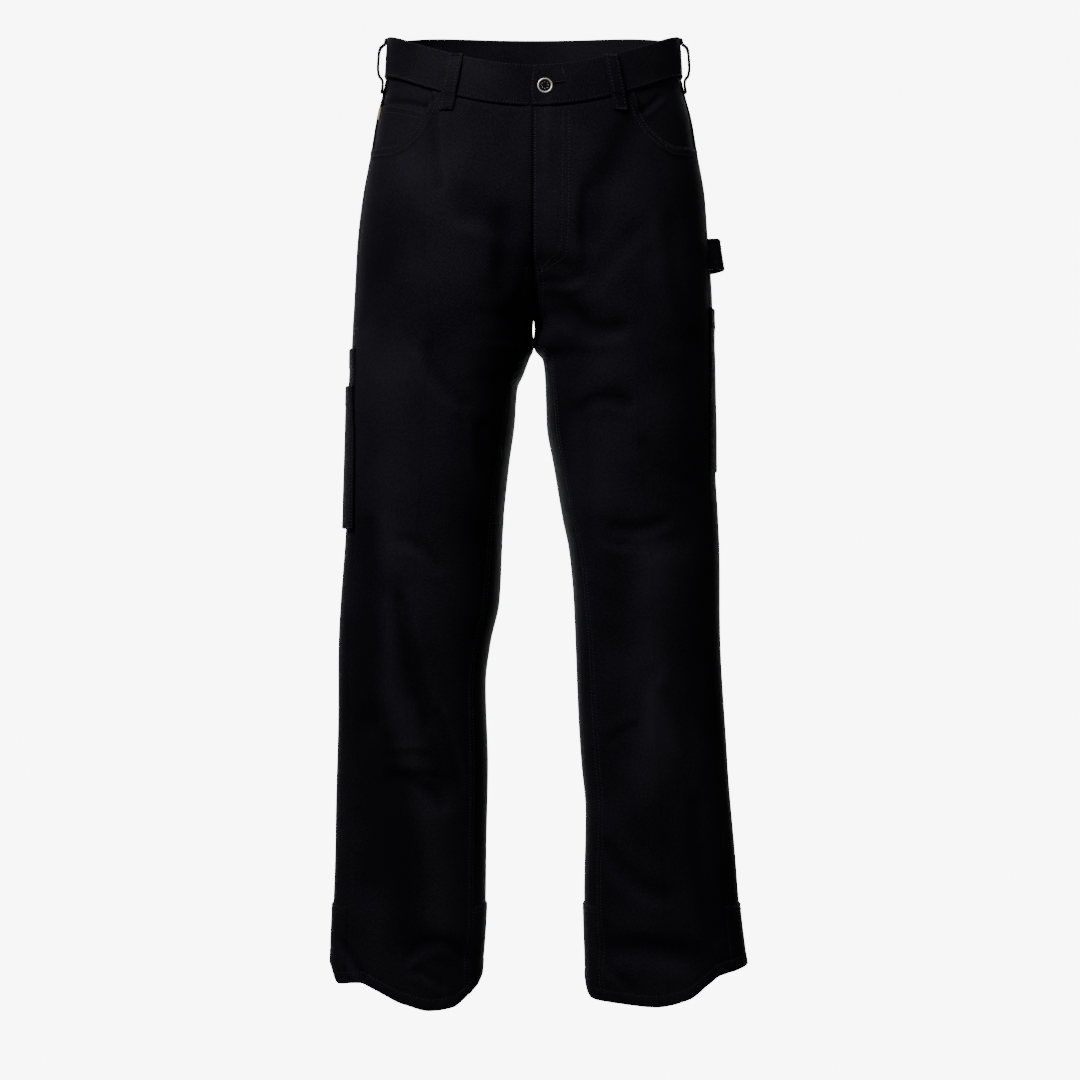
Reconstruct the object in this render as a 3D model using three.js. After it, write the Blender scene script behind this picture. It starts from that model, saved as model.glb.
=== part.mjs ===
// Carpenter trousers in heavy canvas, as they stand when worn, hollow and open at waist and hems.
// Millimetres, +Z up. The front faces -Y and the wearer's left is +X.
// The origin is the middle of the waist opening, half way down the waistband at the sides.
import * as THREE from "three";

// Cloth and sewing sizes
const CLOTH = 1.5;
const BAND_WALL = 3;
const STRAP_WALL = 1.8;
const SEAM_GAP = 0.3;
const PATCH_GAP = 0.45;

// The waist: the heights of its top edge, and the band under it
const TOP_FRONT = -25;
const TOP_SIDE = 20;
const TOP_BACK = 35;
const DIP_FRONT = 1.7;
const DIP_BACK = 5;
const BAND_HEIGHT = 44;
const BAND_PROUD = 0.8;

// Heights of the main seams
const YOKE_ROW = -125;
const CROTCH = -290;
const GUSSET_TIP = { front: -238, back: -262 };
const GUSSET_END = -505;
const KICK_TOP = -930;
const LEG_BLEND = 50;

// Scoop pockets: where the mouth starts on the waist seam, as a share of the front, and its foot
const SCOOP_START = 0.448;
const SCOOP_FLAT = 0.7;
const SCOOP_FOOT = -108;
const SCOOP_END = -105;
const COIN_TOP = { front: -75, side: -58 };

const LEFT = 1;
const RIGHT = -1;
const DEGREE = Math.PI / 180;

// Trunk, both halves alike: centre is where a half is deepest, inner is how far its round
// section would run past the middle plane, where the two halves meet.
const TRUNK = [
  { z: 60, centre: 0, inner: -160 },
  { z: 20, centre: 0, inner: -160 },
  { z: -24, centre: 3, inner: -158 },
  { z: -70, centre: 15, inner: -145 },
  { z: -120, centre: 38, inner: -118 },
  { z: -170, centre: 60, inner: -88 },
  { z: -215, centre: 76, inner: -58 },
  { z: -245, centre: 86, inner: -36 },
  { z: -265, centre: 91, inner: -20 },
  { z: -278, centre: 94, inner: -10 },
  { z: -286, centre: 96, inner: -3.5 },
  { z: CROTCH, centre: 97, inner: 0 },
];

// Depth of the trunk and legs: the foremost and rearmost points, where the section is widest,
// its squareness, and the turns of the outseam and inseam towards the front in degrees.
const DEPTH = [
  { z: 60, front: -106, back: 118, widest: 4, square: 2.15, outseam: 2, inseam: 29 },
  { z: 20, front: -108, back: 120, widest: 5, square: 2.15, outseam: 3, inseam: 29 },
  { z: -24, front: -112, back: 124, widest: 6, square: 2.2, outseam: 5, inseam: 29 },
  { z: -103, front: -118, back: 137, widest: 9, square: 2.3, outseam: 10, inseam: 29 },
  { z: -170, front: -120, back: 144, widest: 11, square: 2.3, outseam: 16, inseam: 29 },
  { z: -240, front: -118, back: 141, widest: 12, square: 2.3, outseam: 19, inseam: 29 },
  { z: -290, front: -115, back: 131, widest: 11, square: 2.3, outseam: 22, inseam: 29 },
  { z: -320, front: -113, back: 124, widest: 10, square: 2.3, outseam: 23, inseam: 26 },
  { z: -400, front: -107, back: 112, widest: 6, square: 2.3, outseam: 27, inseam: 29 },
  { z: -505, front: -98, back: 103, widest: 4, square: 2.3, outseam: 31, inseam: 32 },
  { z: -620, front: -88, back: 93, widest: 3, square: 2.25, outseam: 34, inseam: 34 },
  { z: -760, front: -77, back: 84, widest: 2, square: 2.2, outseam: 37, inseam: 35 },
  { z: -900, front: -69, back: 77, widest: 2, square: 2.15, outseam: 39, inseam: 34 },
  { z: -1050, front: -66, back: 73, widest: 2, square: 2.1, outseam: 40, inseam: 33 },
];

// Outline of each half seen from the front: the inner edge of the leg and the outer edge.
const OUTLINE_RIGHT = [
  { z: 20, inner: 0, outer: 160 },
  { z: -24, inner: 0, outer: 163 },
  { z: -75, inner: 0, outer: 174 },
  { z: -103, inner: 0, outer: 178.5 },
  { z: -158, inner: 0, outer: 188.5 },
  { z: -213, inner: 0, outer: 194.5 },
  { z: -268, inner: 0, outer: 197.5 },
  { z: CROTCH, inner: 0, outer: 198.5 },
  { z: -297, inner: 1.5, outer: 199 },
  { z: -303, inner: 1.4, outer: 199 },
  { z: -310, inner: 0.5, outer: 199.5 },
  { z: -321, inner: 0.5, outer: 200 },
  { z: -334, inner: 5, outer: 200.5 },
  { z: -351, inner: 11, outer: 201 },
  { z: -366, inner: 17, outer: 202 },
  { z: -405, inner: 20, outer: 203.5 },
  { z: -450, inner: 26.5, outer: 204 },
  { z: -505, inner: 32, outer: 205.5 },
  { z: -600, inner: 38, outer: 212 },
  { z: -645, inner: 47.5, outer: 214 },
  { z: -690, inner: 52, outer: 215 },
  { z: -780, inner: 50, outer: 216.5 },
  { z: -930, inner: 53, outer: 220 },
  { z: -1000, inner: 57, outer: 222 },
  { z: -1050, inner: 62, outer: 217 },
];
const OUTLINE_LEFT = [
  { z: 20, inner: 0, outer: 160 },
  { z: -24, inner: 0, outer: 163 },
  { z: -75, inner: 0, outer: 175 },
  { z: -103, inner: 0, outer: 179.5 },
  { z: -158, inner: 0, outer: 189 },
  { z: -213, inner: 0, outer: 193 },
  { z: -268, inner: 0, outer: 196.5 },
  { z: CROTCH, inner: 0, outer: 197 },
  { z: -297, inner: 1.5, outer: 197.5 },
  { z: -303, inner: 1.4, outer: 197.5 },
  { z: -310, inner: 0.5, outer: 197.5 },
  { z: -321, inner: 0.5, outer: 197.5 },
  { z: -334, inner: 10, outer: 198 },
  { z: -351, inner: 12, outer: 198 },
  { z: -378, inner: 13, outer: 198 },
  { z: -405, inner: 14, outer: 198.5 },
  { z: -450, inner: 22, outer: 199.5 },
  { z: -505, inner: 30.5, outer: 203 },
  { z: -545, inner: 38.5, outer: 204.5 },
  { z: -600, inner: 44, outer: 205 },
  { z: -690, inner: 47, outer: 208 },
  { z: -780, inner: 53, outer: 213.5 },
  { z: -830, inner: 57, outer: 217.5 },
  { z: -930, inner: 56, outer: 225.5 },
  { z: -1000, inner: 57, outer: 234 },
  { z: -1050, inner: 61, outer: 238 },
];

// The turn of the gusset's rear seam behind the inner side of the leg.
const GUSSET_REAR = [
  { z: CROTCH, turn: 33 },
  { z: -320, turn: 32 },
  { z: -360, turn: 30 },
  { z: -430, turn: 24 },
  { z: GUSSET_END, turn: 14 },
  { z: -1050, turn: 14 },
];

// Height of each hem round the leg, from the inner side by the back and the front to it again.
const HEM = {
  [LEFT]: [
    { turn: 360, foot: -1016 },
    { turn: 270, foot: -1018 },
    { turn: 225, foot: -1010 },
    { turn: 180, foot: -997 },
    { turn: 130, foot: -1004 },
    { turn: 118, foot: -1013 },
    { turn: 102, foot: -1029 },
    { turn: 80, foot: -1037 },
    { turn: 58, foot: -1035 },
    { turn: 20, foot: -1032 },
    { turn: 0, foot: -1016 },
  ],
  [RIGHT]: [
    { turn: 360, foot: -1005 },
    { turn: 270, foot: -1012 },
    { turn: 225, foot: -1008 },
    { turn: 180, foot: -994 },
    { turn: 166, foot: -998 },
    { turn: 150, foot: -1015 },
    { turn: 125, foot: -1012 },
    { turn: 111, foot: -1019 },
    { turn: 90, foot: -1034 },
    { turn: 70, foot: -1041.5 },
    { turn: 51, foot: -1039.5 },
    { turn: 30, foot: -1025 },
    { turn: 0, foot: -1005 },
  ],
};

// Where the thighs meet under the crotch they lean together, so no light passes between them.
const THIGH_LEAN = { z: -316, reach: 14, slope: 0.08 };

// Largest folds, as straight troughs (depth below 0) and ridges seen from the front or the back.
const FOLDS = [
  { face: "front", x1: 8, z1: -238, x2: 52, z2: -246, width: 12, depth: -5 },
  { face: "front", x1: 14, z1: -262, x2: 52, z2: -300, width: 15, depth: -5 },
  { face: "front", x1: 28, z1: -322, x2: 92, z2: -306, width: 15, depth: -3.5 },
  { face: "front", x1: 40, z1: -398, x2: 92, z2: -386, width: 18, depth: -4 },
  { face: "front", x1: 104, z1: -82, x2: 60, z2: -205, width: 17, depth: -3.5 },
  { face: "front", x1: -28, z1: -190, x2: -38, z2: -262, width: 13, depth: -3.5 },
  { face: "front", x1: -70, z1: -172, x2: -40, z2: -182, width: 17, depth: -3 },
  { face: "front", x1: -186, z1: -420, x2: -178, z2: -900, width: 22, depth: -4 },
  { face: "front", x1: -150, z1: -590, x2: -96, z2: -790, width: 20, depth: -5 },
  { face: "front", x1: -140, z1: -560, x2: -138, z2: -760, width: 28, depth: 3 },
  { face: "front", x1: -150, z1: -795, x2: -106, z2: -812, width: 16, depth: -3.5 },
  { face: "front", x1: -112, z1: -972, x2: -84, z2: -990, width: 18, depth: -4 },
  { face: "front", x1: 78, z1: -520, x2: 160, z2: -532, width: 15, depth: -3 },
  { face: "front", x1: 66, z1: -640, x2: 78, z2: -800, width: 22, depth: -3.5 },
  { face: "front", x1: 130, z1: -560, x2: 132, z2: -780, width: 30, depth: 3 },
  { face: "front", x1: 84, z1: -972, x2: 160, z2: -978, width: 17, depth: -4.5 },
  { face: "back", x1: 20, z1: -268, x2: 110, z2: -292, width: 18, depth: -5 },
  { face: "back", x1: -18, z1: -264, x2: -104, z2: -300, width: 18, depth: -5 },
  { face: "back", x1: 30, z1: -330, x2: 120, z2: -346, width: 20, depth: -4 },
  { face: "back", x1: -34, z1: -338, x2: -124, z2: -344, width: 20, depth: -4 },
  { face: "back", x1: 70, z1: -520, x2: 170, z2: -548, width: 22, depth: -5 },
  { face: "back", x1: -74, z1: -528, x2: -172, z2: -540, width: 22, depth: -5 },
  { face: "back", x1: 84, z1: -596, x2: 168, z2: -580, width: 20, depth: -4 },
  { face: "back", x1: -80, z1: -588, x2: -176, z2: -604, width: 20, depth: -4 },
  { face: "back", x1: 130, z1: -660, x2: 140, z2: -860, width: 28, depth: -4 },
  { face: "back", x1: -138, z1: -650, x2: -132, z2: -850, width: 28, depth: -4 },
];

// Belt loops: the share of the front or back panel where each stands, its lean and belt room.
const LOOP_WIDTH = 16;
const BELT_LOOPS = [
  { name: "belt_loop_front_right", side: RIGHT, panel: "front", share: 0.34, lean: 1.4, room: 2 },
  { name: "belt_loop_front_left", side: LEFT, panel: "front", share: 0.34, lean: 1.4, room: 2 },
  { name: "belt_loop_side_right", side: RIGHT, panel: "back", share: 0.02, lean: 0, room: 7.4 },
  { name: "belt_loop_side_left", side: LEFT, panel: "back", share: 0.02, lean: 0, room: 7.4 },
  { name: "belt_loop_back_right", side: RIGHT, panel: "back", share: 0.55, lean: 1, room: 2 },
  { name: "belt_loop_back_left", side: LEFT, panel: "back", share: 0.55, lean: 1, room: 2 },
  { name: "belt_loop_centre_back", side: LEFT, panel: "back", share: 1, lean: 0, room: 2 },
];

// A belt loop from top to bottom: distance under the waist edge and share of its belt room.
const LOOP_SHAPE = [
  { down: 1, share: 0 },
  { down: 6, share: 0.15 },
  { down: 11, share: 0.8 },
  { down: 18, share: 1 },
  { down: 31, share: 1 },
  { down: 41, share: 0.8 },
  { down: 50, share: 0.15 },
  { down: 61, share: 0 },
];

// The hammer loop on the left: a wide strap from the outseam to the back of the thigh.
const HAMMER = { top: -204, bottom: -238, rearTurn: 187, wall: 2.4, flare: 0.2 };
const HAMMER_SHAPE = [
  { along: 0, off: 0 },
  { along: 0.02, off: 3 },
  { along: 0.05, off: 7 },
  { along: 0.09, off: 10 },
  { along: 0.17, off: 11 },
  { along: 0.3, off: 11.2 },
  { along: 0.46, off: 10.5 },
  { along: 0.6, off: 8.5 },
  { along: 0.72, off: 6 },
  { along: 0.82, off: 3 },
  { along: 0.9, off: 0.6 },
  { along: 1, off: 0 },
];

// Patch pockets on the back panels, in columns of the panel and heights at their corners.
const SEAT_POCKET = { first: 3, last: 9, top: -112, side: -255, point: -260 };
const TOOL_POCKET = { first: 0, last: 4, top: -323, bottom: -520 };
const TOOL_POCKET_OUTER = { first: 0, last: 4, top: -364, bottom: -520 };
const PHONE_POCKET = { first: 0, last: 4, top: -279, bottom: -458 };
const PATCH_MARGIN = 2;

const BUTTON = { turn: 91, z: -48, radius: 8.3, thick: 3.4 };
const SIDE_TAB = { top: -58.5, bottom: -72, width: 7, wall: 1 };

// Rows of the panels: heights from the hips down to the top of the kick panels.
const LEVELS = [
  -150, -178, -205, -226, GUSSET_TIP.front, -244, -252, GUSSET_TIP.back, -268, -275, -283, CROTCH,
  -297, -304, -312, -322, -334, -348, -364, -384, -410, -440, -474, GUSSET_END,
  -545, -590, -635, -680, -725, -770, -815, -860, -897, KICK_TOP,
];
const TOP_ROWS = 4;
const HEM_ROWS = 3;
const BACK_COLUMNS = 12;
const WRAP_COLUMNS = 3;
const GUSSET_COLUMNS = 3;

// Shares of the front panel's width at which its columns stand: even steps to the pocket, and
// then the places where the scoop's quarter ellipse has turned by these angles, and its foot.
const SCOOP_ANGLES = [25, 45, 65, 90];
const FOOT_SHARES = [0.85, 1];
const PLAIN_COLUMNS = 6;
const FRONT_SHARES = [
  ...Array.from({ length: PLAIN_COLUMNS + 1 }, (_, i) => (SCOOP_START * i) / PLAIN_COLUMNS),
  ...SCOOP_ANGLES.map((a) => mix(SCOOP_START, SCOOP_FLAT, 1 - Math.cos(a * DEGREE))),
  ...FOOT_SHARES,
];
const BACK_SHARES = Array.from({ length: BACK_COLUMNS + 1 }, (_, i) => i / BACK_COLUMNS);

function mix(a, b, share) {
  return a + (b - a) * share;
}

function ease(share) {
  const t = Math.min(1, Math.max(0, share));
  return t * t * (3 - 2 * t);
}

// Reads one column of a table at a height, or at another key, on a smooth curve that never
// overshoots its rows.
function read(table, column, key, by = "z") {
  const last = table.length - 1;
  if (key >= table[0][by]) return table[0][column];
  if (key <= table[last][by]) return table[last][column];
  const i = table.findIndex((row) => row[by] < key) - 1;
  const span = (k) => table[k + 1][by] - table[k][by];
  const slope = (k) => (table[k + 1][column] - table[k][column]) / span(k);
  const tangent = (k) => {
    if (k === 0) return slope(0);
    if (k === last) return slope(last - 1);
    const [above, below] = [slope(k - 1), slope(k)];
    return above * below <= 0 ? 0 : (2 * above * below) / (above + below);
  };
  const t = (key - table[i][by]) / span(i);
  return (
    table[i][column] * (1 + 2 * t) * (1 - t) ** 2 +
    table[i + 1][column] * t * t * (3 - 2 * t) +
    span(i) * (tangent(i) * t * (1 - t) ** 2 - tangent(i + 1) * t * t * (1 - t))
  );
}

// The level section of one half: its reach inwards, outwards, forwards and backwards.
function section(side, z) {
  const outline = side === LEFT ? OUTLINE_LEFT : OUTLINE_RIGHT;
  const outer = read(outline, "outer", z);
  const inner = z >= CROTCH ? read(TRUNK, "inner", z) : read(outline, "inner", z);
  const leg = ease((CROTCH - z) / LEG_BLEND);
  return {
    inner,
    outer,
    centre: mix(read(TRUNK, "centre", z), (inner + outer) / 2, leg),
    front: read(DEPTH, "front", z),
    back: read(DEPTH, "back", z),
    widest: read(DEPTH, "widest", z),
    square: read(DEPTH, "square", z),
  };
}

// A point of the unfolded cloth. The turn is 0 at the inner side of the leg, 90 at the front,
// 180 at the outer side and 270 at the back.
function bare(side, z, turn) {
  const s = section(side, z);
  const across = Math.cos(turn * DEGREE);
  const ahead = Math.sin(turn * DEGREE);
  const power = 2 / s.square;
  const width = across > 0 ? s.inner - s.centre : s.outer - s.centre;
  const depth = ahead > 0 ? s.front - s.widest : s.back - s.widest;
  const y = s.widest + depth * Math.abs(ahead) ** power;
  const near = Math.max(0, 1 - Math.abs((z - THIGH_LEAN.z) / THIGH_LEAN.reach));
  const lean = THIGH_LEAN.slope * near * (y - s.widest) * Math.max(0, across) ** 3;
  return new THREE.Vector3(side * (s.centre + width * Math.abs(across) ** power) + lean, y, z);
}

// The turn at which a half meets the middle plane, which is the inner side under the crotch.
function middleTurn(side, z) {
  const s = section(side, z);
  if (s.inner >= 0) return 0;
  return Math.acos((s.centre / (s.centre - s.inner)) ** (s.square / 2)) / DEGREE;
}

// The outward direction of the unfolded cloth.
function outward(side, z, turn) {
  const along = bare(side, z, turn + 0.5).sub(bare(side, z, turn - 0.5));
  const up = bare(side, z + 1, turn).sub(bare(side, z - 1, turn));
  return along.cross(up).normalize().multiplyScalar(side);
}

// How far the folds move a point outwards, fading where the cloth turns to the side.
function foldsAt(point, out) {
  let sum = 0;
  for (const f of FOLDS) {
    const faces = Math.max(0, f.face === "front" ? -out.y : out.y);
    if (!faces) continue;
    const [dx, dz] = [f.x2 - f.x1, f.z2 - f.z1];
    const t = ((point.x - f.x1) * dx + (point.z - f.z1) * dz) / (dx * dx + dz * dz);
    const near = Math.min(1, Math.max(0, t));
    const away = Math.hypot(point.x - f.x1 - near * dx, point.z - f.z1 - near * dz) / f.width;
    sum += f.depth * faces * Math.exp(-away * away);
  }
  return sum;
}

// A point of the folded cloth with its outward direction.
function cloth(side, z, turn) {
  const out = outward(side, z, turn);
  const at = bare(side, z, turn);
  return { at: at.addScaledVector(out, foldsAt(at, out)), out };
}

// A point on the middle plane, front or back, moved to its own side by half a seam gap.
function middle(side, z, face, gap = SEAM_GAP / 2) {
  const turn = face === "front" ? middleTurn(side, z) : -middleTurn(side, z);
  const { at, out } = cloth(side, z, turn);
  at.x = side * gap;
  const flat = new THREE.Vector3(0, out.y, out.z).normalize();
  return { at, out: flat, mitre: 1 / Math.max(0.6, flat.dot(out)) };
}

// A turn moved along the cloth by a distance.
function moved(side, z, turn, distance) {
  const step = bare(side, z, turn + 0.5).distanceTo(bare(side, z, turn - 0.5));
  return turn + distance / step;
}

function outseam(z) {
  return 180 - read(DEPTH, "outseam", z);
}

// The front panel's inner seam: the middle plane, then the gusset's edge, then the inseam.
function frontSeam(side, z) {
  const tip = GUSSET_TIP.front;
  if (z >= tip) return middleTurn(side, z);
  if (z <= CROTCH) return read(DEPTH, "inseam", z);
  const share = ((tip - z) / (tip - CROTCH)) ** 1.3;
  return mix(middleTurn(side, tip), read(DEPTH, "inseam", CROTCH), share);
}

// The back panel's inner seam, as a turn behind the inner side.
function backSeam(side, z) {
  const tip = GUSSET_TIP.back;
  if (z >= tip) return middleTurn(side, z);
  if (z <= CROTCH) return read(GUSSET_REAR, "turn", z);
  const share = ((tip - z) / (tip - CROTCH)) ** 1.3;
  return mix(middleTurn(side, tip), read(GUSSET_REAR, "turn", CROTCH), share);
}

// The turn at a share of the front panel, from the middle to the outseam, and of the back.
function frontTurn(side, z, share) {
  return mix(frontSeam(side, z), outseam(z), share);
}
function backTurn(side, z, share) {
  return mix(outseam(z), 360 - backSeam(side, z), share);
}

// The height of the waist's top edge at a turn of the waist.
function waistTop(turn) {
  const atFront = Math.sin(turn * DEGREE) > 0;
  const sideways = Math.abs(Math.cos(turn * DEGREE)) ** (atFront ? DIP_FRONT : DIP_BACK);
  return mix(atFront ? TOP_FRONT : TOP_BACK, TOP_SIDE, sideways);
}
function waistTurn(panel, share) {
  const seam = outseam(0);
  return panel === "front" ? mix(90, seam, share) : mix(seam, 270, share);
}
function waistSeam(panel, share) {
  return waistTop(waistTurn(panel, share)) - BAND_HEIGHT;
}

// The top edge of the front panel: the waist seam, and then the pocket's scoop.
function frontTop(share) {
  if (share <= SCOOP_START) return waistSeam("front", share);
  if (share >= SCOOP_FLAT) {
    return mix(SCOOP_FOOT, SCOOP_END, (share - SCOOP_FLAT) / (1 - SCOOP_FLAT));
  }
  const run = (share - SCOOP_START) / (SCOOP_FLAT - SCOOP_START);
  return mix(waistSeam("front", SCOOP_START), SCOOP_FOOT, Math.sqrt(1 - (1 - run) ** 2));
}

function hemHeight(side, turn) {
  return read(HEM[side], "foot", ((turn % 360) + 360) % 360, "turn");
}

// Heights of the rows of one panel column, from its top edge down to the hem.
function columnHeights(top, hemAt) {
  const heights = [];
  for (let i = 0; i < TOP_ROWS; i += 1) heights.push(mix(top, YOKE_ROW, i / TOP_ROWS));
  heights.push(YOKE_ROW, ...LEVELS);
  for (let i = 1; i <= HEM_ROWS; i += 1) heights.push(mix(KICK_TOP, hemAt, i / HEM_ROWS));
  return heights;
}

// Turns a list of columns into rows, as the grids are kept.
function rowsOf(columns) {
  return columns[0].map((_, row) => columns.map((column) => column[row]));
}

function frontPanel(side) {
  const hemTurn = (share) => frontTurn(side, -1040, share);
  const columns = FRONT_SHARES.map((share) => {
    const top = frontTop(share) - (share < SCOOP_START ? SEAM_GAP : 0);
    return columnHeights(top, hemHeight(side, hemTurn(share))).map((z) => {
      if (share === 0 && z > GUSSET_TIP.front) return middle(side, z, "front");
      const inset = share === 0 ? SEAM_GAP / 2 : share === 1 ? -SEAM_GAP / 2 : 0;
      return cloth(side, z, moved(side, z, frontTurn(side, z, share), inset));
    });
  });
  return [rowsOf(columns)];
}

// The back panel is a main grid and, under the gusset, a strip that wraps on to the inseam.
function backPanel(side) {
  const main = BACK_SHARES.map((share) => {
    const top = waistSeam("back", share) - SEAM_GAP;
    const hemAt = hemHeight(side, backTurn(side, -1040, share));
    return columnHeights(top, hemAt).map((z) => {
      if (share === 1 && z > GUSSET_TIP.back) return middle(side, z, "back");
      const inset = share === 0 ? SEAM_GAP / 2 : share === 1 ? -SEAM_GAP / 2 : 0;
      return cloth(side, z, moved(side, z, backTurn(side, z, share), inset));
    });
  });
  const start = main[0].length - HEM_ROWS - LEVELS.length + LEVELS.indexOf(GUSSET_END);
  const wrap = [main[BACK_COLUMNS].slice(start)];
  for (let i = 1; i <= WRAP_COLUMNS; i += 1) {
    const turnAt = (z) => mix(360 - backSeam(side, z), 360 + frontSeam(side, z), i / WRAP_COLUMNS);
    const heights = LEVELS.slice(LEVELS.indexOf(GUSSET_END));
    const hemAt = hemHeight(side, turnAt(-1040));
    for (let k = 1; k <= HEM_ROWS; k += 1) heights.push(mix(KICK_TOP, hemAt, k / HEM_ROWS));
    const inset = i === WRAP_COLUMNS ? -SEAM_GAP / 2 : 0;
    wrap.push(heights.map((z) => cloth(side, z, moved(side, z, turnAt(z), inset))));
  }
  return [rowsOf(main), rowsOf(wrap)];
}

// The gusset crosses under the crotch from one thigh to the other, as four joined grids.
function gussetGrids() {
  const grids = [];
  for (const side of [LEFT, RIGHT]) {
    for (const face of ["front", "back"]) {
      const seam = face === "front" ? frontSeam : backSeam;
      const way = face === "front" ? 1 : -1;
      const heights = LEVELS.filter((z) => z < GUSSET_TIP[face] - 1 && z > GUSSET_END);
      heights.push(GUSSET_END + SEAM_GAP);
      grids.push(
        heights.map((z) => {
          const row = [];
          for (let i = 0; i <= GUSSET_COLUMNS; i += 1) {
            if (i === 0 && z > CROTCH) {
              row.push(middle(side, z, face, 0));
              continue;
            }
            const turn = mix(middleTurn(side, z), seam(side, z), i / GUSSET_COLUMNS);
            const inset = i === GUSSET_COLUMNS ? -SEAM_GAP / 2 : 0;
            row.push(cloth(side, z, way * moved(side, z, turn, inset)));
          }
          return row;
        }),
      );
    }
  }
  return grids;
}

// Moves every point of a grid in or out, so that its outer face lies there.
function lifted(grids, lift) {
  return grids.map((grid) => grid.map((row) => row.map((p) => ({ ...p, lift }))));
}

// The waistband runs from its hidden end under the left front, round the body, to the button.
function waistbandGrid() {
  const strip = [];
  const add = (side, panel, share, lift) => strip.push({ side, turn: waistTurn(panel, share), lift });
  const under = BAND_PROUD - BAND_WALL - PATCH_GAP;
  for (const share of [2, 1].map((i) => FRONT_SHARES[i])) add(LEFT, "front", share, under);
  FRONT_SHARES.forEach((share, i) => add(RIGHT, "front", share, i === 0 ? under : BAND_PROUD));
  BACK_SHARES.slice(1).forEach((share) => add(RIGHT, "back", share, BAND_PROUD));
  BACK_SHARES.slice(0, -1).reverse().forEach((share) => add(LEFT, "back", share, BAND_PROUD));
  FRONT_SHARES.slice(0, -1).reverse().forEach((share) => add(LEFT, "front", share, BAND_PROUD));
  const rows = 3;
  return Array.from({ length: rows + 1 }, (_, row) =>
    strip.map(({ side, turn, lift }) => {
      const z = waistTop(turn) - (BAND_HEIGHT * row) / rows;
      return { ...cloth(side, z, turnOverPanel(side, z, turn)), lift };
    }),
  );
}

// Keeps a waist turn over the same column of the panel below as the trunk's middle moves.
function turnOverPanel(side, z, turn) {
  const seam = outseam(0);
  if (turn <= seam) return frontTurn(side, z, (turn - 90) / (seam - 90));
  return backTurn(side, z, (turn - seam) / (270 - seam));
}

// The panel seen inside a scoop pocket, which runs on behind the front.
function scoopFacing(side, lift) {
  const first = PLAIN_COLUMNS - 1;
  const columns = FRONT_SHARES.slice(first).map((share) => {
    const top = waistSeam("front", share) - SEAM_GAP;
    return Array.from({ length: TOP_ROWS + 1 }, (_, row) => {
      const z = mix(top, YOKE_ROW, row / TOP_ROWS);
      const inset = share === 1 ? -SEAM_GAP / 2 : 0;
      return { ...cloth(side, z, moved(side, z, frontTurn(side, z, share), inset)), lift };
    });
  });
  return [rowsOf(columns)];
}

// The coin pocket lies on the right facing, with its lower part behind the front.
function coinPocket(lift) {
  const rows = 3;
  const columns = FRONT_SHARES.slice(PLAIN_COLUMNS).map((share) => {
    const run = (share - SCOOP_START) / (1 - SCOOP_START);
    const top = mix(COIN_TOP.side, COIN_TOP.front, (1 - run) ** 2.2);
    return Array.from({ length: rows + 1 }, (_, row) => {
      const z = mix(top, YOKE_ROW, row / rows);
      const inset = share === 1 ? -SEAM_GAP : 0;
      return { ...cloth(RIGHT, z, moved(RIGHT, z, frontTurn(RIGHT, z, share), inset)), lift };
    });
  });
  return [rowsOf(columns)];
}

// The small woven tab caught in the right outseam, which slopes down on to the coin pocket.
function sideTab(seamLift, pocketLift) {
  const row = (z) => {
    const seam = cloth(RIGHT, z, moved(RIGHT, z, outseam(z), -SEAM_GAP));
    const ahead = cloth(RIGHT, z, frontTurn(RIGHT, z, FOOT_SHARES[0]));
    const share = SIDE_TAB.width / seam.at.distanceTo(ahead.at);
    const at = seam.at.clone().lerp(ahead.at, share);
    const out = seam.out.clone().lerp(ahead.out, share).normalize();
    return [{ ...seam, lift: seamLift }, { at, out, lift: pocketLift }];
  };
  return [[row(SIDE_TAB.top), row(SIDE_TAB.bottom)]];
}

// A point of a panel's column at a height, on the straight edge between two of its points.
function onColumn(grid, column, z) {
  const line = grid.map((row) => row[column]);
  const i = Math.min(line.length - 2, Math.max(0, line.findIndex((p) => p.at.z <= z) - 1));
  const share = (z - line[i].at.z) / (line[i + 1].at.z - line[i].at.z);
  return {
    at: line[i].at.clone().lerp(line[i + 1].at, share),
    out: line[i].out.clone().lerp(line[i + 1].out, share).normalize(),
  };
}

// A patch on a panel, made from the panel's own points and moved out to lie on it.
function patch(grid, pocket, lift, bottomOf = () => pocket.bottom) {
  const lowest = Math.max(bottomOf(pocket.first), bottomOf(pocket.last));
  const heights = grid.map((row) => row[pocket.first].at.z);
  const inside = heights.filter((z) => z < pocket.top - PATCH_MARGIN && z > lowest + PATCH_MARGIN);
  const columns = [];
  for (let c = pocket.first; c <= pocket.last; c += 1) {
    const line = [pocket.top, ...inside, bottomOf(c)];
    columns.push(line.map((z) => ({ ...onColumn(grid, c, z), lift })));
  }
  return [rowsOf(columns)];
}

function seatPocket(grid, lift) {
  const { first, last, side, point } = SEAT_POCKET;
  const half = (last - first) / 2;
  const bottomOf = (c) => mix(point, side, Math.abs(c - first - half) / half);
  return patch(grid, SEAT_POCKET, lift, bottomOf);
}

// The kick panel covers the foot of the back panel from outseam to inseam.
function kickPanel(back, lift) {
  return back.map((grid) => lifted([grid.slice(-HEM_ROWS - 1)], lift)[0]);
}

// Outward directions worked out from a strap's own points, turned the way that they already face.
function refaced(grid) {
  return grid.map((row, i) =>
    row.map((p, j) => {
      const before = grid[Math.max(0, i - 1)][j].at;
      const after = grid[Math.min(grid.length - 1, i + 1)][j].at;
      const across = row[row.length - 1].at.clone().sub(row[0].at);
      const out = after.clone().sub(before).cross(across).normalize();
      if (out.dot(p.out) < 0) out.negate();
      return { ...p, out };
    }),
  );
}

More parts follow.
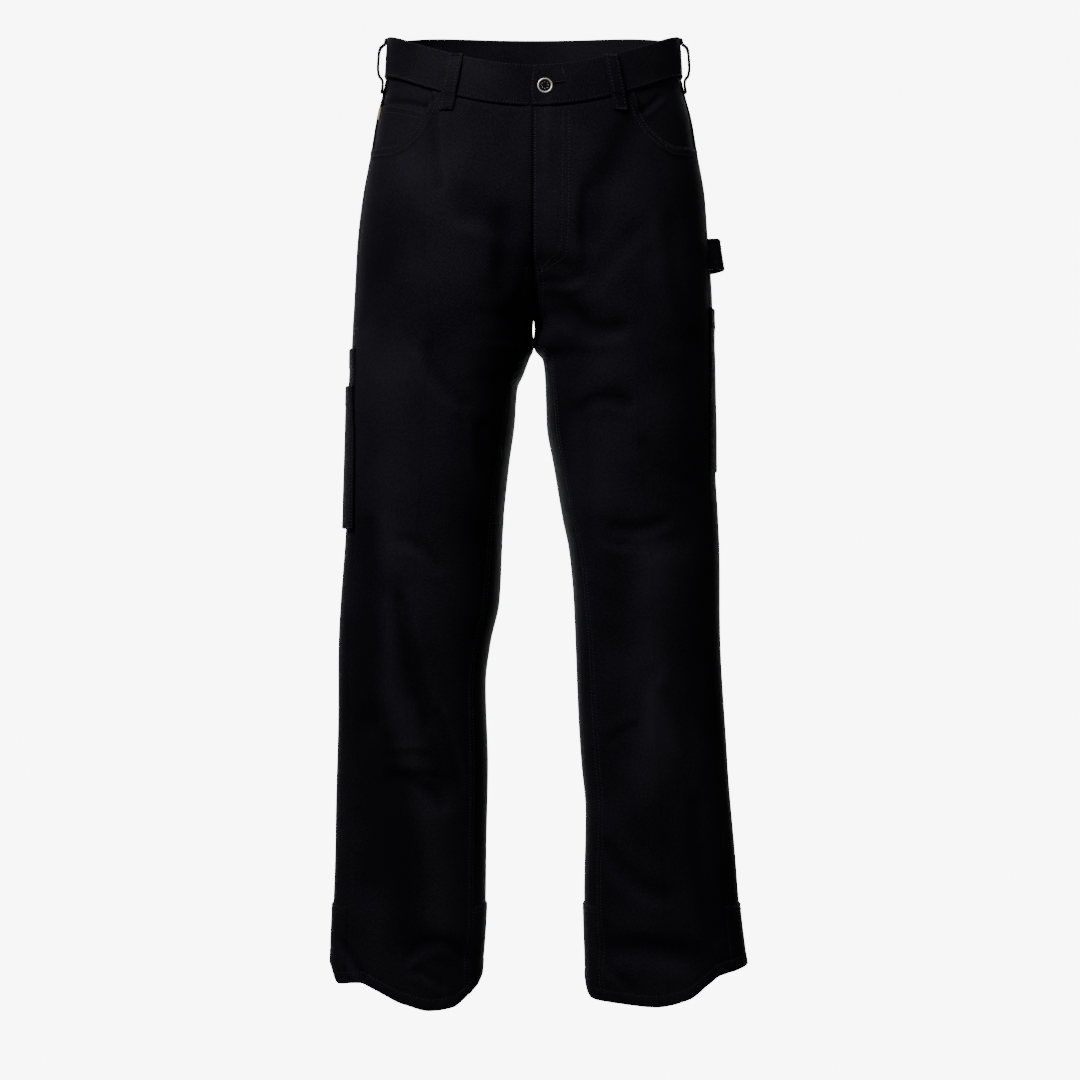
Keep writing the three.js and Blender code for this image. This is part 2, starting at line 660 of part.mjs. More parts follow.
function beltLoop({ side, panel, share, lean, room }) {
  const turnAt = panel === "front" ? frontTurn : backTurn;
  const sign = panel === "front" ? 1 : -1;
  const grid = LOOP_SHAPE.map(({ down, share: rise }) => {
    const z = waistTop(waistTurn(panel, share)) - down;
    const low = down > BAND_HEIGHT ? SEAM_GAP : BAND_PROUD;
    return [-0.5, 0.5].map((edge) => {
      const turn = turnAt(side, z, share) + (sign * lean * (down - BAND_HEIGHT / 2)) / BAND_HEIGHT;
      const p = cloth(side, z, moved(side, z, turn, edge * LOOP_WIDTH));
      p.at.addScaledVector(p.out, low + SEAM_GAP + room * rise);
      return { ...p, lift: STRAP_WALL };
    });
  });
  return [share === 1 ? centred(grid) : grid];
}

// Makes a grid of two columns stand evenly across the middle plane.
function centred(grid) {
  return grid.map(([a, b]) => {
    const half = LOOP_WIDTH / 2;
    const y = Math.max(a.at.y, b.at.y);
    const place = (x) => new THREE.Vector3(x, y, a.at.z);
    const out = new THREE.Vector3(0, 1, 0);
    return [
      { at: place(-half), out, lift: a.lift },
      { at: place(half), out, lift: a.lift },
    ];
  });
}

function hammerLoop() {
  const rise = (HAMMER.top + HAMMER.bottom) / 2;
  const front = moved(LEFT, rise, outseam(rise), SEAM_GAP);
  return [
    refaced(
      HAMMER_SHAPE.map(({ along, off }) =>
        [HAMMER.top, HAMMER.bottom].map((z) => {
          const p = cloth(LEFT, z, mix(front, HAMMER.rearTurn, along));
          const flare = z === HAMMER.bottom ? HAMMER.flare * off : 0;
          p.at.addScaledVector(p.out, PATCH_GAP + off + flare);
          return { ...p, lift: HAMMER.wall };
        }),
      ),
    ),
  ];
}

// The sum of the outward directions at the four corners of a grid's cell.
function outs(grid, i, j) {
  const corners = [grid[i][j], grid[i + 1][j], grid[i + 1][j + 1], grid[i][j + 1]];
  return corners.reduce((sum, p) => sum.add(p.out), new THREE.Vector3());
}

// Thickens joined grids into one closed wall: the outer face lies at each point's lift, and
// points that meet are merged with their directions shared.
function wallGeometry(grids, wall) {
  const points = [];
  const seen = new Map();
  const indexOf = (p) => {
    const key = [...p.at.toArray(), p.lift ?? 0].map((v) => Math.round(v * 500)).join();
    if (!seen.has(key)) {
      seen.set(key, points.length);
      points.push({ ...p, sum: new THREE.Vector3(), parts: [] });
    }
    const merged = points[seen.get(key)];
    merged.sum.add(p.out);
    merged.parts.push(p.out);
    return seen.get(key);
  };
  const faces = [];
  for (const grid of grids) {
    const ids = grid.map((row) => row.map(indexOf));
    for (let i = 0; i + 1 < ids.length; i += 1) {
      for (let j = 0; j + 1 < ids[i].length; j += 1) {
        const [a, b, c, d] = [ids[i][j], ids[i + 1][j], ids[i + 1][j + 1], ids[i][j + 1]];
        const [p, q, r, s] = [a, b, c, d].map((k) => points[k].at);
        const facing = r.clone().sub(p).cross(s.clone().sub(q)).dot(outs(grid, i, j));
        faces.push(...(facing > 0 ? [[a, b, c], [a, c, d]] : [[a, c, b], [a, d, c]]));
      }
    }
  }
  return closedGeometry(points, faces.filter((f) => new Set(f).size === 3), wall);
}

// Joins the outer face, the inner face and the edge faces between them.
function closedGeometry(points, faces, wall) {
  const outer = [];
  const inner = [];
  for (const p of points) {
    const out = p.sum.clone().normalize();
    const mitre = p.mitre ?? 1 / Math.max(0.6, Math.min(...p.parts.map((o) => o.dot(out))));
    const lift = p.lift ?? 0;
    outer.push(...p.at.clone().addScaledVector(out, lift * mitre).toArray());
    inner.push(...p.at.clone().addScaledVector(out, (lift - wall) * mitre).toArray());
  }
  const used = new Set(faces.flatMap(([a, b, c]) => [`${a},${b}`, `${b},${c}`, `${c},${a}`]));
  const n = points.length;
  const index = faces.flatMap(([a, b, c]) => [a, b, c, c + n, b + n, a + n]);
  for (const edge of used) {
    const [a, b] = edge.split(",").map(Number);
    if (!used.has(`${b},${a}`)) index.push(b, a, a + n, b, a + n, b + n);
  }
  const geometry = new THREE.BufferGeometry();
  geometry.setAttribute("position", new THREE.Float32BufferAttribute([...outer, ...inner], 3));
  geometry.setIndex(index);
  geometry.computeVertexNormals();
  return geometry;
}

// The shank button's cap: a rolled rim round a shallow dish with a raised middle.
function buttonGeometry() {
  const { radius, thick } = BUTTON;
  const profile = [
    [0, 0],
    [radius * 0.8, 0],
    [radius, thick * 0.4],
    [radius * 0.96, thick * 0.8],
    [radius * 0.84, thick],
    [radius * 0.68, thick * 0.86],
    [radius * 0.5, thick * 0.62],
    [radius * 0.26, thick * 0.7],
    [0, thick * 0.8],
  ];
  return new THREE.LatheGeometry(profile.map(([r, h]) => new THREE.Vector2(r, h)), 24);
}

function metal() {
  return new THREE.MeshStandardMaterial({ color: 0x8f8a80, roughness: 0.32, metalness: 1 });
}
function canvas() {
  return new THREE.MeshStandardMaterial({ color: 0x0d0e12, roughness: 0.9, metalness: 0 });
}
function woven() {
  return new THREE.MeshStandardMaterial({ color: 0xa08a5c, roughness: 0.7, metalness: 0 });
}

const garment = new THREE.Group();

function sew(name, grids, wall = CLOTH, material = canvas()) {
  const mesh = new THREE.Mesh(wallGeometry(grids, wall), material);
  mesh.name = name;
  garment.add(mesh);
}

const onPanel = PATCH_GAP + CLOTH;
const underFront = -CLOTH - SEAM_GAP;

sew("waistband", [waistbandGrid()], BAND_WALL);
for (const [side, word] of [[LEFT, "left"], [RIGHT, "right"]]) {
  sew(`front_${word}`, frontPanel(side));
  const back = backPanel(side);
  sew(`back_${word}`, back);
  sew(`kick_panel_${word}`, kickPanel(back, onPanel));
  sew(`seat_pocket_${word}`, seatPocket(back[0], onPanel));
  sew(`scoop_facing_${word}`, scoopFacing(side, side === LEFT ? underFront : 2 * underFront));
  if (side === LEFT) sew("phone_pocket", patch(back[0], PHONE_POCKET, onPanel));
  if (side === RIGHT) {
    sew("tool_pocket", patch(back[0], TOOL_POCKET, onPanel));
    sew("tool_pocket_outer", patch(back[0], TOOL_POCKET_OUTER, 2 * onPanel));
  }
}
sew("crotch_gusset", gussetGrids());
sew("coin_pocket", coinPocket(underFront));
sew("side_tab", sideTab(SIDE_TAB.wall, underFront + SEAM_GAP + SIDE_TAB.wall), SIDE_TAB.wall, woven());
for (const loop of BELT_LOOPS) sew(loop.name, beltLoop(loop), STRAP_WALL);
sew("hammer_loop", hammerLoop(), HAMMER.wall);

// The button sits on the left end of the waistband, square to the cloth.
const seat = cloth(LEFT, BUTTON.z, BUTTON.turn);
const button = new THREE.Mesh(buttonGeometry(), metal());
button.name = "button";
button.position.copy(seat.at).addScaledVector(seat.out, BAND_PROUD + PATCH_GAP);
button.quaternion.setFromUnitVectors(new THREE.Vector3(0, 1, 0), seat.out);
garment.add(button);

export default garment;
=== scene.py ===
"""Carpenter trousers in black canvas, hollow as when worn, with their sewing.

Tables and functions of the form are in millimetres and degrees, and meshes are in metres.
The front faces -Y and the wearer's left is +X.
"""
import math

import bmesh
import bpy
import numpy as np
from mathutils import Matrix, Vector
from mathutils.bvhtree import BVHTree


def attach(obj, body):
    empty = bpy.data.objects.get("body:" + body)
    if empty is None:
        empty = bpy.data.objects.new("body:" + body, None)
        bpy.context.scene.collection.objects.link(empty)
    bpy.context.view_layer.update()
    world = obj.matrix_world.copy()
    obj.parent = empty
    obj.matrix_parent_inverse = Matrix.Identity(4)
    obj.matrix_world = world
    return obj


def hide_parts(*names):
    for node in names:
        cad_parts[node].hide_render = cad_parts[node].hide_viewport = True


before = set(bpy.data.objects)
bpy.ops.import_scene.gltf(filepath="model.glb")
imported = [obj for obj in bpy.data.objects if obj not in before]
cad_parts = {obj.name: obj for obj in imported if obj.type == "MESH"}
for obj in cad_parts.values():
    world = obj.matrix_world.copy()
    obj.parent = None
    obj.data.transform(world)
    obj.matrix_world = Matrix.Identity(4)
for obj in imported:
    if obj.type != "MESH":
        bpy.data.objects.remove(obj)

bl_info = {
    "name": "Carpenter trousers",
    "version": (1, 0, 0),
    "blender": (4, 5, 0),
    "location": "3D View > Sidebar > Trousers",
    "description": "Makes carpenter trousers in canvas with pockets, loops and sewing",
    "category": "Add Mesh",
}

MM = 0.001
LEFT, RIGHT = 1, -1
WORDS = {LEFT: "left", RIGHT: "right"}
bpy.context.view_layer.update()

# The waist and the main seams, as in the solids
TOP_FRONT, TOP_SIDE, TOP_BACK = -25, 20, 35
DIP_FRONT, DIP_BACK = 1.7, 5
BAND_PROUD = 1.2
YOKE_ROW = -125
CROTCH = -290
TIP_FRONT, TIP_BACK = -238, -262
GUSSET_END = -505
KICK_TOP = -930
LEG_BLEND = 50

# The scoop pockets: shares of the front where the mouth starts and turns level, then heights
SCOOP_START, SCOOP_FLAT = 0.448, 0.7
SCOOP_FOOT, SCOOP_END = -108, -105
COIN_TOP_FRONT, COIN_TOP_SIDE = -75, -58
TAB_TOP, TAB_FOOT = -58.5, -72

# How the panels go in under the waistband, and the height of the turned hem
TUCK = 3
SINK, SINK_REACH = 1.6, 5.5
HEM_BAND = 12

# How much thicker the wall of a panel is in a lap and in a hem
LAP_MORE, HEM_MORE = 0.8, 1.6

# Walls of the pieces that are not one plain layer of canvas
BAND_WALL, COIN_WALL, KICK_WALL, PATCH_WALL = 2.7, 1.15, 1.45, 1.5
LOOP_WALL, HAMMER_WALL, TAB_WALL = 2.1, 2.2, 0.5

# Distances from the edge of a panel to its first columns of points
EDGE_STEPS = [0, 0.5, 1.2, 2.6, 5, 8, 9.6, 11.5]

# Pitches of the twill lines, of the puckers beside a seam and of the bars on the woven tab
TWILL_PITCH, PUCKER_PITCH, BAR_PITCH = 2.6, 2.5, 1.2

# Grain of the canvas, of its worn patches, of the thread, of the metal and of the paint
SLUB, WEAR, FIBRE, SPOT, MOTTLE = 2.381, 111.1, 1.111, 1.4286, 666.7

# How much painted highlight pales a ridge, and painted shade darkens a trough, for each millimetre of fold,
# and how deep a pucker is beside the weave
FOLD_PAINTED_LIGHT, PUCKER_DEPTH = 0.07, 1.6

# Colours that are not settings: the button's hollows, the ground of the tab and the paint
HOLLOWS, TAB_GROUND, PAINT = "#57524b", "#2d241a", ("#7c7c7c", "#828282")

# Insets of the rows of stitches from the edges that they follow
SEAM_ROWS = (1.9, 7.6)
GUSSET_ROW = 6.5
SCOOP_ROWS = (2.6, 8.6)
COIN_ROWS = (2.2, 8.4)
PATCH_ROWS, PATCH_HEM_ROW = (1.9, 7.4), 20
STRAP_ROWS = (2, 7.5)
LOOP_ROW = 3
FLY_EDGE_ROW = 2.5
BAND_ROWS = (("top", 1.5), ("foot", 2.2))
BAND_END_ROW = 2

# Half the length of the thread that shows in a stitch, as a share of the stitch
STITCH_HALF = 0.24

# The double row of the fly: its corner and its end, each an inset from the edge and a height
FLY_ROWS = (((32, -223), (7.6, -241.5)), ((38.6, -231), (4.6, -246)))


def columns(names, *rows):
    """Makes a table of its rows, with one array for each named column."""
    return dict(zip(names.split(), np.array(rows, float).T))


# Trunk, both halves alike: where a half is deepest, and how far its round would run past the
# middle plane.
TRUNK = columns(
    "z centre inner",
    (60, 0, -160),
    (20, 0, -160),
    (-24, 3, -158),
    (-70, 15, -145),
    (-120, 38, -118),
    (-170, 60, -88),
    (-215, 76, -58),
    (-245, 86, -36),
    (-265, 91, -20),
    (-278, 94, -10),
    (-286, 96, -3.5),
    (-290, 97, 0),
)

# Depth of the trunk and legs, with the turns of the outseam and inseam towards the front.
DEPTH = columns(
    "z front back widest square outseam inseam",
    (60, -106, 118, 4, 2.15, 2, 29),
    (20, -108, 120, 5, 2.15, 3, 29),
    (-24, -112, 124, 6, 2.2, 5, 29),
    (-103, -118, 137, 9, 2.3, 10, 29),
    (-170, -120, 144, 11, 2.3, 16, 29),
    (-240, -118, 141, 12, 2.3, 19, 29),
    (-290, -115, 131, 11, 2.3, 22, 29),
    (-320, -113, 124, 10, 2.3, 23, 26),
    (-400, -107, 112, 6, 2.3, 27, 29),
    (-505, -98, 103, 4, 2.3, 31, 32),
    (-620, -88, 93, 3, 2.25, 34, 34),
    (-760, -77, 84, 2, 2.2, 37, 35),
    (-900, -69, 77, 2, 2.15, 39, 34),
    (-1050, -66, 73, 2, 2.1, 40, 33),
)

# The inner and outer edge of each leg, seen from the front.
OUTLINE = {
    RIGHT: columns(
        "z inner outer",
        (20, 0, 160),
        (-24, 0, 163),
        (-75, 0, 174),
        (-103, 0, 178.5),
        (-158, 0, 188.5),
        (-213, 0, 194.5),
        (-268, 0, 197.5),
        (-290, 0, 198.5),
        (-297, 1.5, 199),
        (-303, 1.4, 199),
        (-310, 0.5, 199.5),
        (-321, 0.5, 200),
        (-334, 5, 200.5),
        (-351, 11, 201),
        (-366, 17, 202),
        (-405, 20, 203.5),
        (-450, 26.5, 204),
        (-505, 32, 205.5),
        (-600, 38, 212),
        (-645, 47.5, 214),
        (-690, 52, 215),
        (-780, 50, 216.5),
        (-930, 53, 220),
        (-1000, 57, 222),
        (-1050, 62, 217),
    ),
    LEFT: columns(
        "z inner outer",
        (20, 0, 160),
        (-24, 0, 163),
        (-75, 0, 175),
        (-103, 0, 179.5),
        (-158, 0, 189),
        (-213, 0, 193),
        (-268, 0, 196.5),
        (-290, 0, 197),
        (-297, 1.5, 197.5),
        (-303, 1.4, 197.5),
        (-310, 0.5, 197.5),
        (-321, 0.5, 197.5),
        (-334, 10, 198),
        (-351, 12, 198),
        (-378, 13, 198),
        (-405, 14, 198.5),
        (-450, 22, 199.5),
        (-505, 30.5, 203),
        (-545, 38.5, 204.5),
        (-600, 44, 205),
        (-690, 47, 208),
        (-780, 53, 213.5),
        (-830, 57, 217.5),
        (-930, 56, 225.5),
        (-1000, 57, 234),
        (-1050, 61, 238),
    ),
}

# How far behind the inner side of the leg the gusset's rear seam and the back panel's edge turn.
GUSSET_REAR = columns(
    "z turn",
    (-290, 33),
    (-320, 32),
    (-360, 30),
    (-430, 24),
    (-505, 14),
    (-1050, 14),
)

# Height of each hem round the leg, from the inner side by the back and the front to it again.
HEM = {
    RIGHT: columns(
        "turn foot",
        (360, -1005),
        (270, -1012),
        (225, -1008),
        (180, -994),
        (166, -998),
        (150, -1015),
        (125, -1012),
        (111, -1019),
        (90, -1034),
        (70, -1041.5),
        (51, -1039.5),
        (30, -1025),
        (0, -1005),
    ),
    LEFT: columns(
        "turn foot",
        (360, -1016),
        (270, -1018),
        (225, -1010),
        (180, -997),
        (130, -1004),
        (118, -1013),
        (102, -1029),
        (80, -1037),
        (58, -1035),
        (20, -1032),
        (0, -1016),
    ),
}

THIGH_LEAN = {"z": -316, "reach": 14, "slope": 0.08}

# The largest folds, as in the solids: straight troughs, and ridges where the depth is above 0.
FOLDS = {
    "front": columns(
        "x1 z1 x2 z2 width depth",
        (8, -238, 52, -246, 12, -5),
        (14, -262, 52, -300, 15, -5),
        (28, -322, 92, -306, 15, -3.5),
        (40, -398, 92, -386, 18, -4),
        (104, -82, 60, -205, 17, -3.5),
        (-28, -190, -38, -262, 13, -3.5),
        (-70, -172, -40, -182, 17, -3),
        (-186, -420, -178, -900, 22, -4),
        (-150, -590, -96, -790, 20, -5),
        (-140, -560, -138, -760, 28, 3),
        (-150, -795, -106, -812, 16, -3.5),
        (-112, -972, -84, -990, 18, -4),
        (78, -520, 160, -532, 15, -3),
        (66, -640, 78, -800, 22, -3.5),
        (130, -560, 132, -780, 30, 3),
        (84, -972, 160, -978, 17, -4.5),
    ),
    "back": columns(
        "x1 z1 x2 z2 width depth",
        (20, -268, 110, -292, 18, -5),
        (-18, -264, -104, -300, 18, -5),
        (30, -330, 120, -346, 20, -4),
        (-34, -338, -124, -344, 20, -4),
        (70, -520, 170, -548, 22, -5),
        (-74, -528, -172, -540, 22, -5),
        (84, -596, 168, -580, 20, -4),
        (-80, -588, -176, -604, 20, -4),
        (130, -660, 140, -860, 28, -4),
        (-138, -650, -132, -850, 28, -4),
    ),
}

# Creases laid over the folds. Bow is how far the middle of the crease bends sideways.
CREASES = {
    "front": columns(
        "x1 z1 x2 z2 width depth bow",
        (-101, -156, -106, -78, 5, -3.2, -2),
        (-70, -188, -26, -206, 9, -2.2, -3),
        (-32, -222, -29, -258, 8, -1.2, 1),
        (-34, -242, -28, -306, 9, -1, -3),
        (-150, -170, -176, -300, 10, -1.9, -7),
        (-112, -330, -74, -386, 8, -2.6, 6),
        (-56, -412, -44, -484, 6, -2.4, 5),
        (-140, -532, -102, -560, 7, -1.8, -5),
        (-179, -734, -180, -520, 13, -5, 3),
        (-130, -965, -174, -734, 22, -6.8, 6),
        (-111, -727, -143, -598, 8, -3.4, -3),
        (-77, -798, -101, -720, 4, -2.6, 2),
        (-160, -758, -118, -755, 4.5, 1.3, -2),
        (-152, -779, -108, -779, 4.5, 1.2, -2),
        (-142, -790, -99, -819, 6, -1.7, -5),
        (-131, -980, -76, -984, 7, -3, -15),
        (-126, -998, -99, -1014, 5, -2.2, -2),
        (-214, -963, -185, -1006, 5, -3.2, -1),
        (116, -73, 137, -54, 3.5, -2.2, 1),
        (18, -66, 14, -150, 6, 1.5, 2),
        (112, -88, 68, -156, 15, -1.8, -3),
        (56, -160, 56, -234, 6, -2.4, 2),
        (60, -262, 108, -204, 10, -1.6, -3),
        (10, -256, 48, -252, 5, -3.4, 3),
        (19, -271, 49, -299, 9, -4.6, 2),
        (52, -306, 92, -306, 8, -2.2, 2),
        (150, -190, 176, -330, 10, -1.9, 6),
        (46, -392, 100, -386, 7, -2.7, -9),
        (120, -430, 164, -470, 9, -1.6, 5),
        (86, -520, 142, -512, 6, -2.4, 4),
        (78, -532, 100, -536, 5, -1.9, 2),
        (52, -400, 58, -560, 8, -2.4, -4),
        (98, -752, 92, -570, 22, -4, 0),
        (113, -742, 125, -676, 9, -1.7, -3),
        (110, -734, 82, -748, 6, -1.6, 2),
        (140, -700, 170, -760, 9, -1.6, -4),
        (80, -868, 140, -916, 10, -3.2, 6),
        (90, -974, 175, -986, 12, -2.6, -6),
        (79, -952, 103, -1015, 6, -2.6, 12),
        (176, -820, 196, -960, 10, -2.2, 5),
    ),
    "back": columns(
        "x1 z1 x2 z2 width depth bow",
        (14, -274, 84, -300, 7, -3.2, 5),
        (-12, -276, -78, -306, 7, -3.2, -5),
        (26, -306, 96, -318, 8, -2.9, -5),
        (-30, -312, -90, -320, 8, -2.6, 6),
        (60, -352, 150, -372, 9, -2.7, 6),
        (-66, -360, -142, -362, 9, -2.4, -6),
        (84, -500, 150, -520, 7, -3, 6),
        (-84, -506, -160, -516, 7, -3, -6),
        (92, -560, 168, -560, 8, -3.2, -6),
        (-90, -566, -160, -572, 8, -2.9, 6),
        (90, -618, 140, -634, 7, -2.2, 4),
        (-96, -630, -150, -626, 7, -2.2, -5),
        (120, -690, 112, -820, 9, -2.6, 6),
        (-124, -676, -116, -830, 9, -2.6, -6),
        (164, -700, 176, -900, 10, -2.2, -6),
        (-160, -690, -172, -880, 10, -2.2, 6),
        (84, -880, 150, -902, 8, -2.4, 5),
        (-88, -890, -150, -896, 8, -2.4, -5),
        (96, -985, 170, -975, 8, -2.6, 6),
        (-90, -975, -160, -985, 8, -2.6, 6),
        (40, -60, 48, -110, 8, -1.6, 3),
        (-46, -56, -44, -108, 8, -1.6, -3),
    ),
}

# Belt loops: the panel and share of it where each stands, its lean and its room for a belt.
BELT_LOOPS = {
    "belt_loop_front_right": (RIGHT, "front", 0.34, 1.4, 2),
    "belt_loop_front_left": (LEFT, "front", 0.34, 1.4, 2),
    "belt_loop_side_right": (RIGHT, "back", 0.02, 0, 7.4),
    "belt_loop_side_left": (LEFT, "back", 0.02, 0, 7.4),
    "belt_loop_back_right": (RIGHT, "back", 0.55, 1, 2),
    "belt_loop_back_left": (LEFT, "back", 0.55, 1, 2),
    "belt_loop_centre_back": (LEFT, "back", 1, 0, 2),
}
LOOP_SHAPE = columns(
    "down share",
    (1, 0),
    (6, 0.15),
    (11, 0.8),
    (18, 1),
    (31, 1),
    (41, 0.8),
    (50, 0.15),
    (61, 0),
)

HAMMER = {"top": -204, "bottom": -238, "rear": 187, "flare": 0.2}
HAMMER_SHAPE = columns(
    "along off",
    (0, 0),
    (0.02, 3),
    (0.05, 7),
    (0.09, 10),
    (0.17, 11),
    (0.3, 11.2),
    (0.46, 10.5),
    (0.6, 8.5),
    (0.72, 6),
    (0.82, 3),
    (0.9, 0.6),
    (1, 0),
)

# Patch pockets on the back panels: shares of the panel, and heights at the top and the foot.
PATCHES = {
    "seat_pocket_left": (LEFT, 0.25, 0.75, -112, -255, -260, 0),
    "seat_pocket_right": (RIGHT, 0.25, 0.75, -112, -255, -260, 0),
    "phone_pocket": (LEFT, 0.004, 0.333, -279, -458, -458, 0),
    "tool_pocket": (RIGHT, 0.004, 0.333, -323, -520, -520, 0),
    "tool_pocket_outer": (RIGHT, 0.004, 0.333, -364, -520, -520, 1),
}

# The woven tab from its hidden edge forwards: the distance from the outseam, and the lift there
TAB_SHAPE = columns(
    "across lift",
    (-3.5, -2.7),
    (-1, -2.7),
    (0.1, -2.4),
    (0.5, -0.6),
    (1.2, 0.7),
    (2.2, 0.8),
    (4.5, 0.2),
    (7, -0.5),
)

# The buttonhole's slot: how far below the band's top it lies, and where it starts and ends in x
SLOT = {"down": 22.6, "start": 19, "end": 34.5}

# Near the slot the left front spans this much in x for one whole share
SHARE_SPAN = 236

# The button's place, as a turn and a height, and its shape
BUTTON_TURN, BUTTON_Z = 91, -48
BUTTON = {"radius": 8.6, "height": 3.4, "spokes": 72, "rings": 60, "flutes": 8, "flute": 0.2}

# Loose ends of thread: the piece, where each starts and ends, and how far it bends
LOOSE_ENDS = (
    ("waistband", 30.3, -28, 31.5, -36, 0.8),
    ("front_left", 21.2, -159.8, 23, -162.4, 0.3),
)

# The shank button's cap, as shares of its radius and of its height.
BUTTON_PROFILE = columns(
    "radius height",
    (0, 0),
    (0.8, 0),
    (0.97, 0.2),
    (1, 0.45),
    (0.98, 0.72),
    (0.93, 0.92),
    (0.86, 1),
    (0.79, 0.96),
    (0.73, 0.84),
    (0.7, 0.7),
    (0.66, 0.64),
    (0.5, 0.6),
    (0.46, 0.66),
    (0.42, 0.7),
    (0.38, 0.66),
    (0.34, 0.6),
    (0.22, 0.66),
    (0.1, 0.74),
    (0, 0.76),
)

# The stage in metres: a round floor that bends up to a wall, with a bright patch on it
SWEEP = {"floor": -2.3, "radius": 4.6, "bend": 1.6, "top": 3.2, "spokes": 64}
PATCH = {"centre": (0, 5.9, -0.6), "near": 2.4, "far": 3.4, "strength": 8, "rest": 0.1}
WORLD_LIGHT = 0.05
CAMERA = {"place": (0.007, -3.6, -0.532), "width": 1.188, "sensor": 36}
AIM = (0, 0, -0.45)

# Soft lights: where each stands, its size in metres and its power in watts
LIGHTS = (
    ("key", (-1.0, -1.45, 1.3), 0.8, 158),
    ("fill", (1.9, -1.9, 0.9), 1.6, 19),
    ("top", (0, -0.4, 2.4), 1.2, 14),
    ("back_left", (1.0, 3.0, 1.2), 1.4, 55),
    ("back_right", (-1.2, 2.9, 1.0), 1.4, 45),
)

made = {}
surfaces = {}


def linear(colour):
    """Turns an sRGB hex colour to linear values."""
    parts = [int(colour[i : i + 2], 16) / 255 for i in (1, 3, 5)]
    return [c / 12.92 if c <= 0.04045 else ((c + 0.055) / 1.055) ** 2.4 for c in parts]


def ease(share):
    """A smooth step from 0 to 1."""
    t = np.clip(share, 0, 1)
    return t * t * (3 - 2 * t)


def mix(a, b, share):
    """A value between two others."""
    return a + (b - a) * share


def read(table, column, key, first="z"):
    """Reads a column of a table on a smooth curve that never overshoots its rows."""
    places, values = table[first], table[column]
    if places[0] > places[-1]:
        places, values = places[::-1], values[::-1]
    slopes = np.diff(values) / np.diff(places)
    before, after = slopes[:-1], slopes[1:]
    tangents = np.concatenate([slopes[:1], np.zeros(len(slopes) - 1), slopes[-1:]])
    agree = before * after > 0
    tangents[1:-1][agree] = (2 * before * after)[agree] / (before + after)[agree]
    key = np.clip(key, places[0], places[-1])
    i = np.clip(np.searchsorted(places, key, side="right") - 1, 0, len(slopes) - 1)
    span = places[i + 1] - places[i]
    t = (key - places[i]) / span
    return (
        values[i] * (1 + 2 * t) * (1 - t) ** 2
        + values[i + 1] * t * t * (3 - 2 * t)
        + span * (tangents[i] * t * (1 - t) ** 2 - tangents[i + 1] * t * t * (1 - t))
    )


def section(side, z):
    """The level section of one half: its reach inwards, outwards, forwards and backwards."""
    outer = read(OUTLINE[side], "outer", z)
    inner = np.where(z >= CROTCH, read(TRUNK, "inner", z), read(OUTLINE[side], "inner", z))
    centre = mix(read(TRUNK, "centre", z), (inner + outer) / 2, ease((CROTCH - z) / LEG_BLEND))
    return inner, outer, centre


def bare(side, z, turn):
    """Points of the unfolded cloth: turn 0 is the inner side, 90 the front, 180 the outer side."""
    inner, outer, centre = section(side, z)
    across, ahead = np.cos(np.radians(turn)), np.sin(np.radians(turn))
    power = 2 / read(DEPTH, "square", z)
    widest = read(DEPTH, "widest", z)
    width = np.where(across > 0, inner, outer) - centre
    depth = np.where(ahead > 0, read(DEPTH, "front", z), read(DEPTH, "back", z)) - widest
    y = widest + depth * np.abs(ahead) ** power
    near = np.maximum(0, 1 - np.abs((z - THIGH_LEAN["z"]) / THIGH_LEAN["reach"]))
    lean = THIGH_LEAN["slope"] * near * (y - widest) * np.maximum(0, across) ** 3
    x = side * (centre + width * np.abs(across) ** power) + lean
    return np.stack(np.broadcast_arrays(x, y, z), -1)


def unit(vectors):
    """Vectors of length 1 with the same ways."""
    return vectors / np.maximum(1e-9, np.linalg.norm(vectors, axis=-1, keepdims=True))


def outward(side, z, turn):
    """The way out of the unfolded cloth."""
    along = bare(side, z, turn + 0.5) - bare(side, z, turn - 0.5)
    up = bare(side, z + 1, turn) - bare(side, z - 1, turn)
    return unit(np.cross(along, up)) * side


def fold_height(points, outs):
    """How far folds, creases and the slack of heavy cloth move points outwards."""
    total = np.zeros(points.shape[:-1])
    x, z = points[..., 0], points[..., 2]
    for face, sign in (("front", -1), ("back", 1)):
        faces = np.maximum(0, sign * outs[..., 1])
        for table, ridge in ((FOLDS[face], 0), (CREASES[face], 0.55)):
            for i in range(len(table["x1"])):
                row = {name: column[i] for name, column in table.items()}
                dx, dz = row["x2"] - row["x1"], row["z2"] - row["z1"]
                length = math.hypot(dx, dz)
                t = ((x - row["x1"]) * dx + (z - row["z1"]) * dz) / length**2
                near = np.clip(t, 0, 1)
                aside = ((x - row["x1"]) * dz - (z - row["z1"]) * dx) / length
                aside = aside - row.get("bow", 0) * 4 * near * (1 - near)
                past = (t - near) * length
                away = (aside**2 + past**2) / row["width"] ** 2
                beside = (aside - 1.7 * row["width"]) ** 2 + past**2
                shape = np.exp(-away) - ridge * np.exp(-beside / row["width"] ** 2)
                total += row["depth"] * faces * shape
    slack = np.sin(z / 37 + x / 61) * np.sin(x / 43 - z / 83 + 1.3)
    return total + 0.7 * slack * ease((YOKE_ROW - z) / 120)


def cloth(side, z, turn):
    """Points of the folded cloth, with the way out at each."""
    z, turn = np.broadcast_arrays(np.asarray(z, float), np.asarray(turn, float))
    outs = outward(side, z, turn)
    points = bare(side, z, turn)
    return points + outs * fold_height(points, outs)[..., None], outs


def middle_turn(side, z):
    """Where a half of the trunk meets the middle plane."""
    inner, _, centre = section(side, z)
    power = read(DEPTH, "square", z) / 2
    return np.where(inner < 0, np.degrees(np.arccos((centre / (centre - inner)) ** power)), 0)


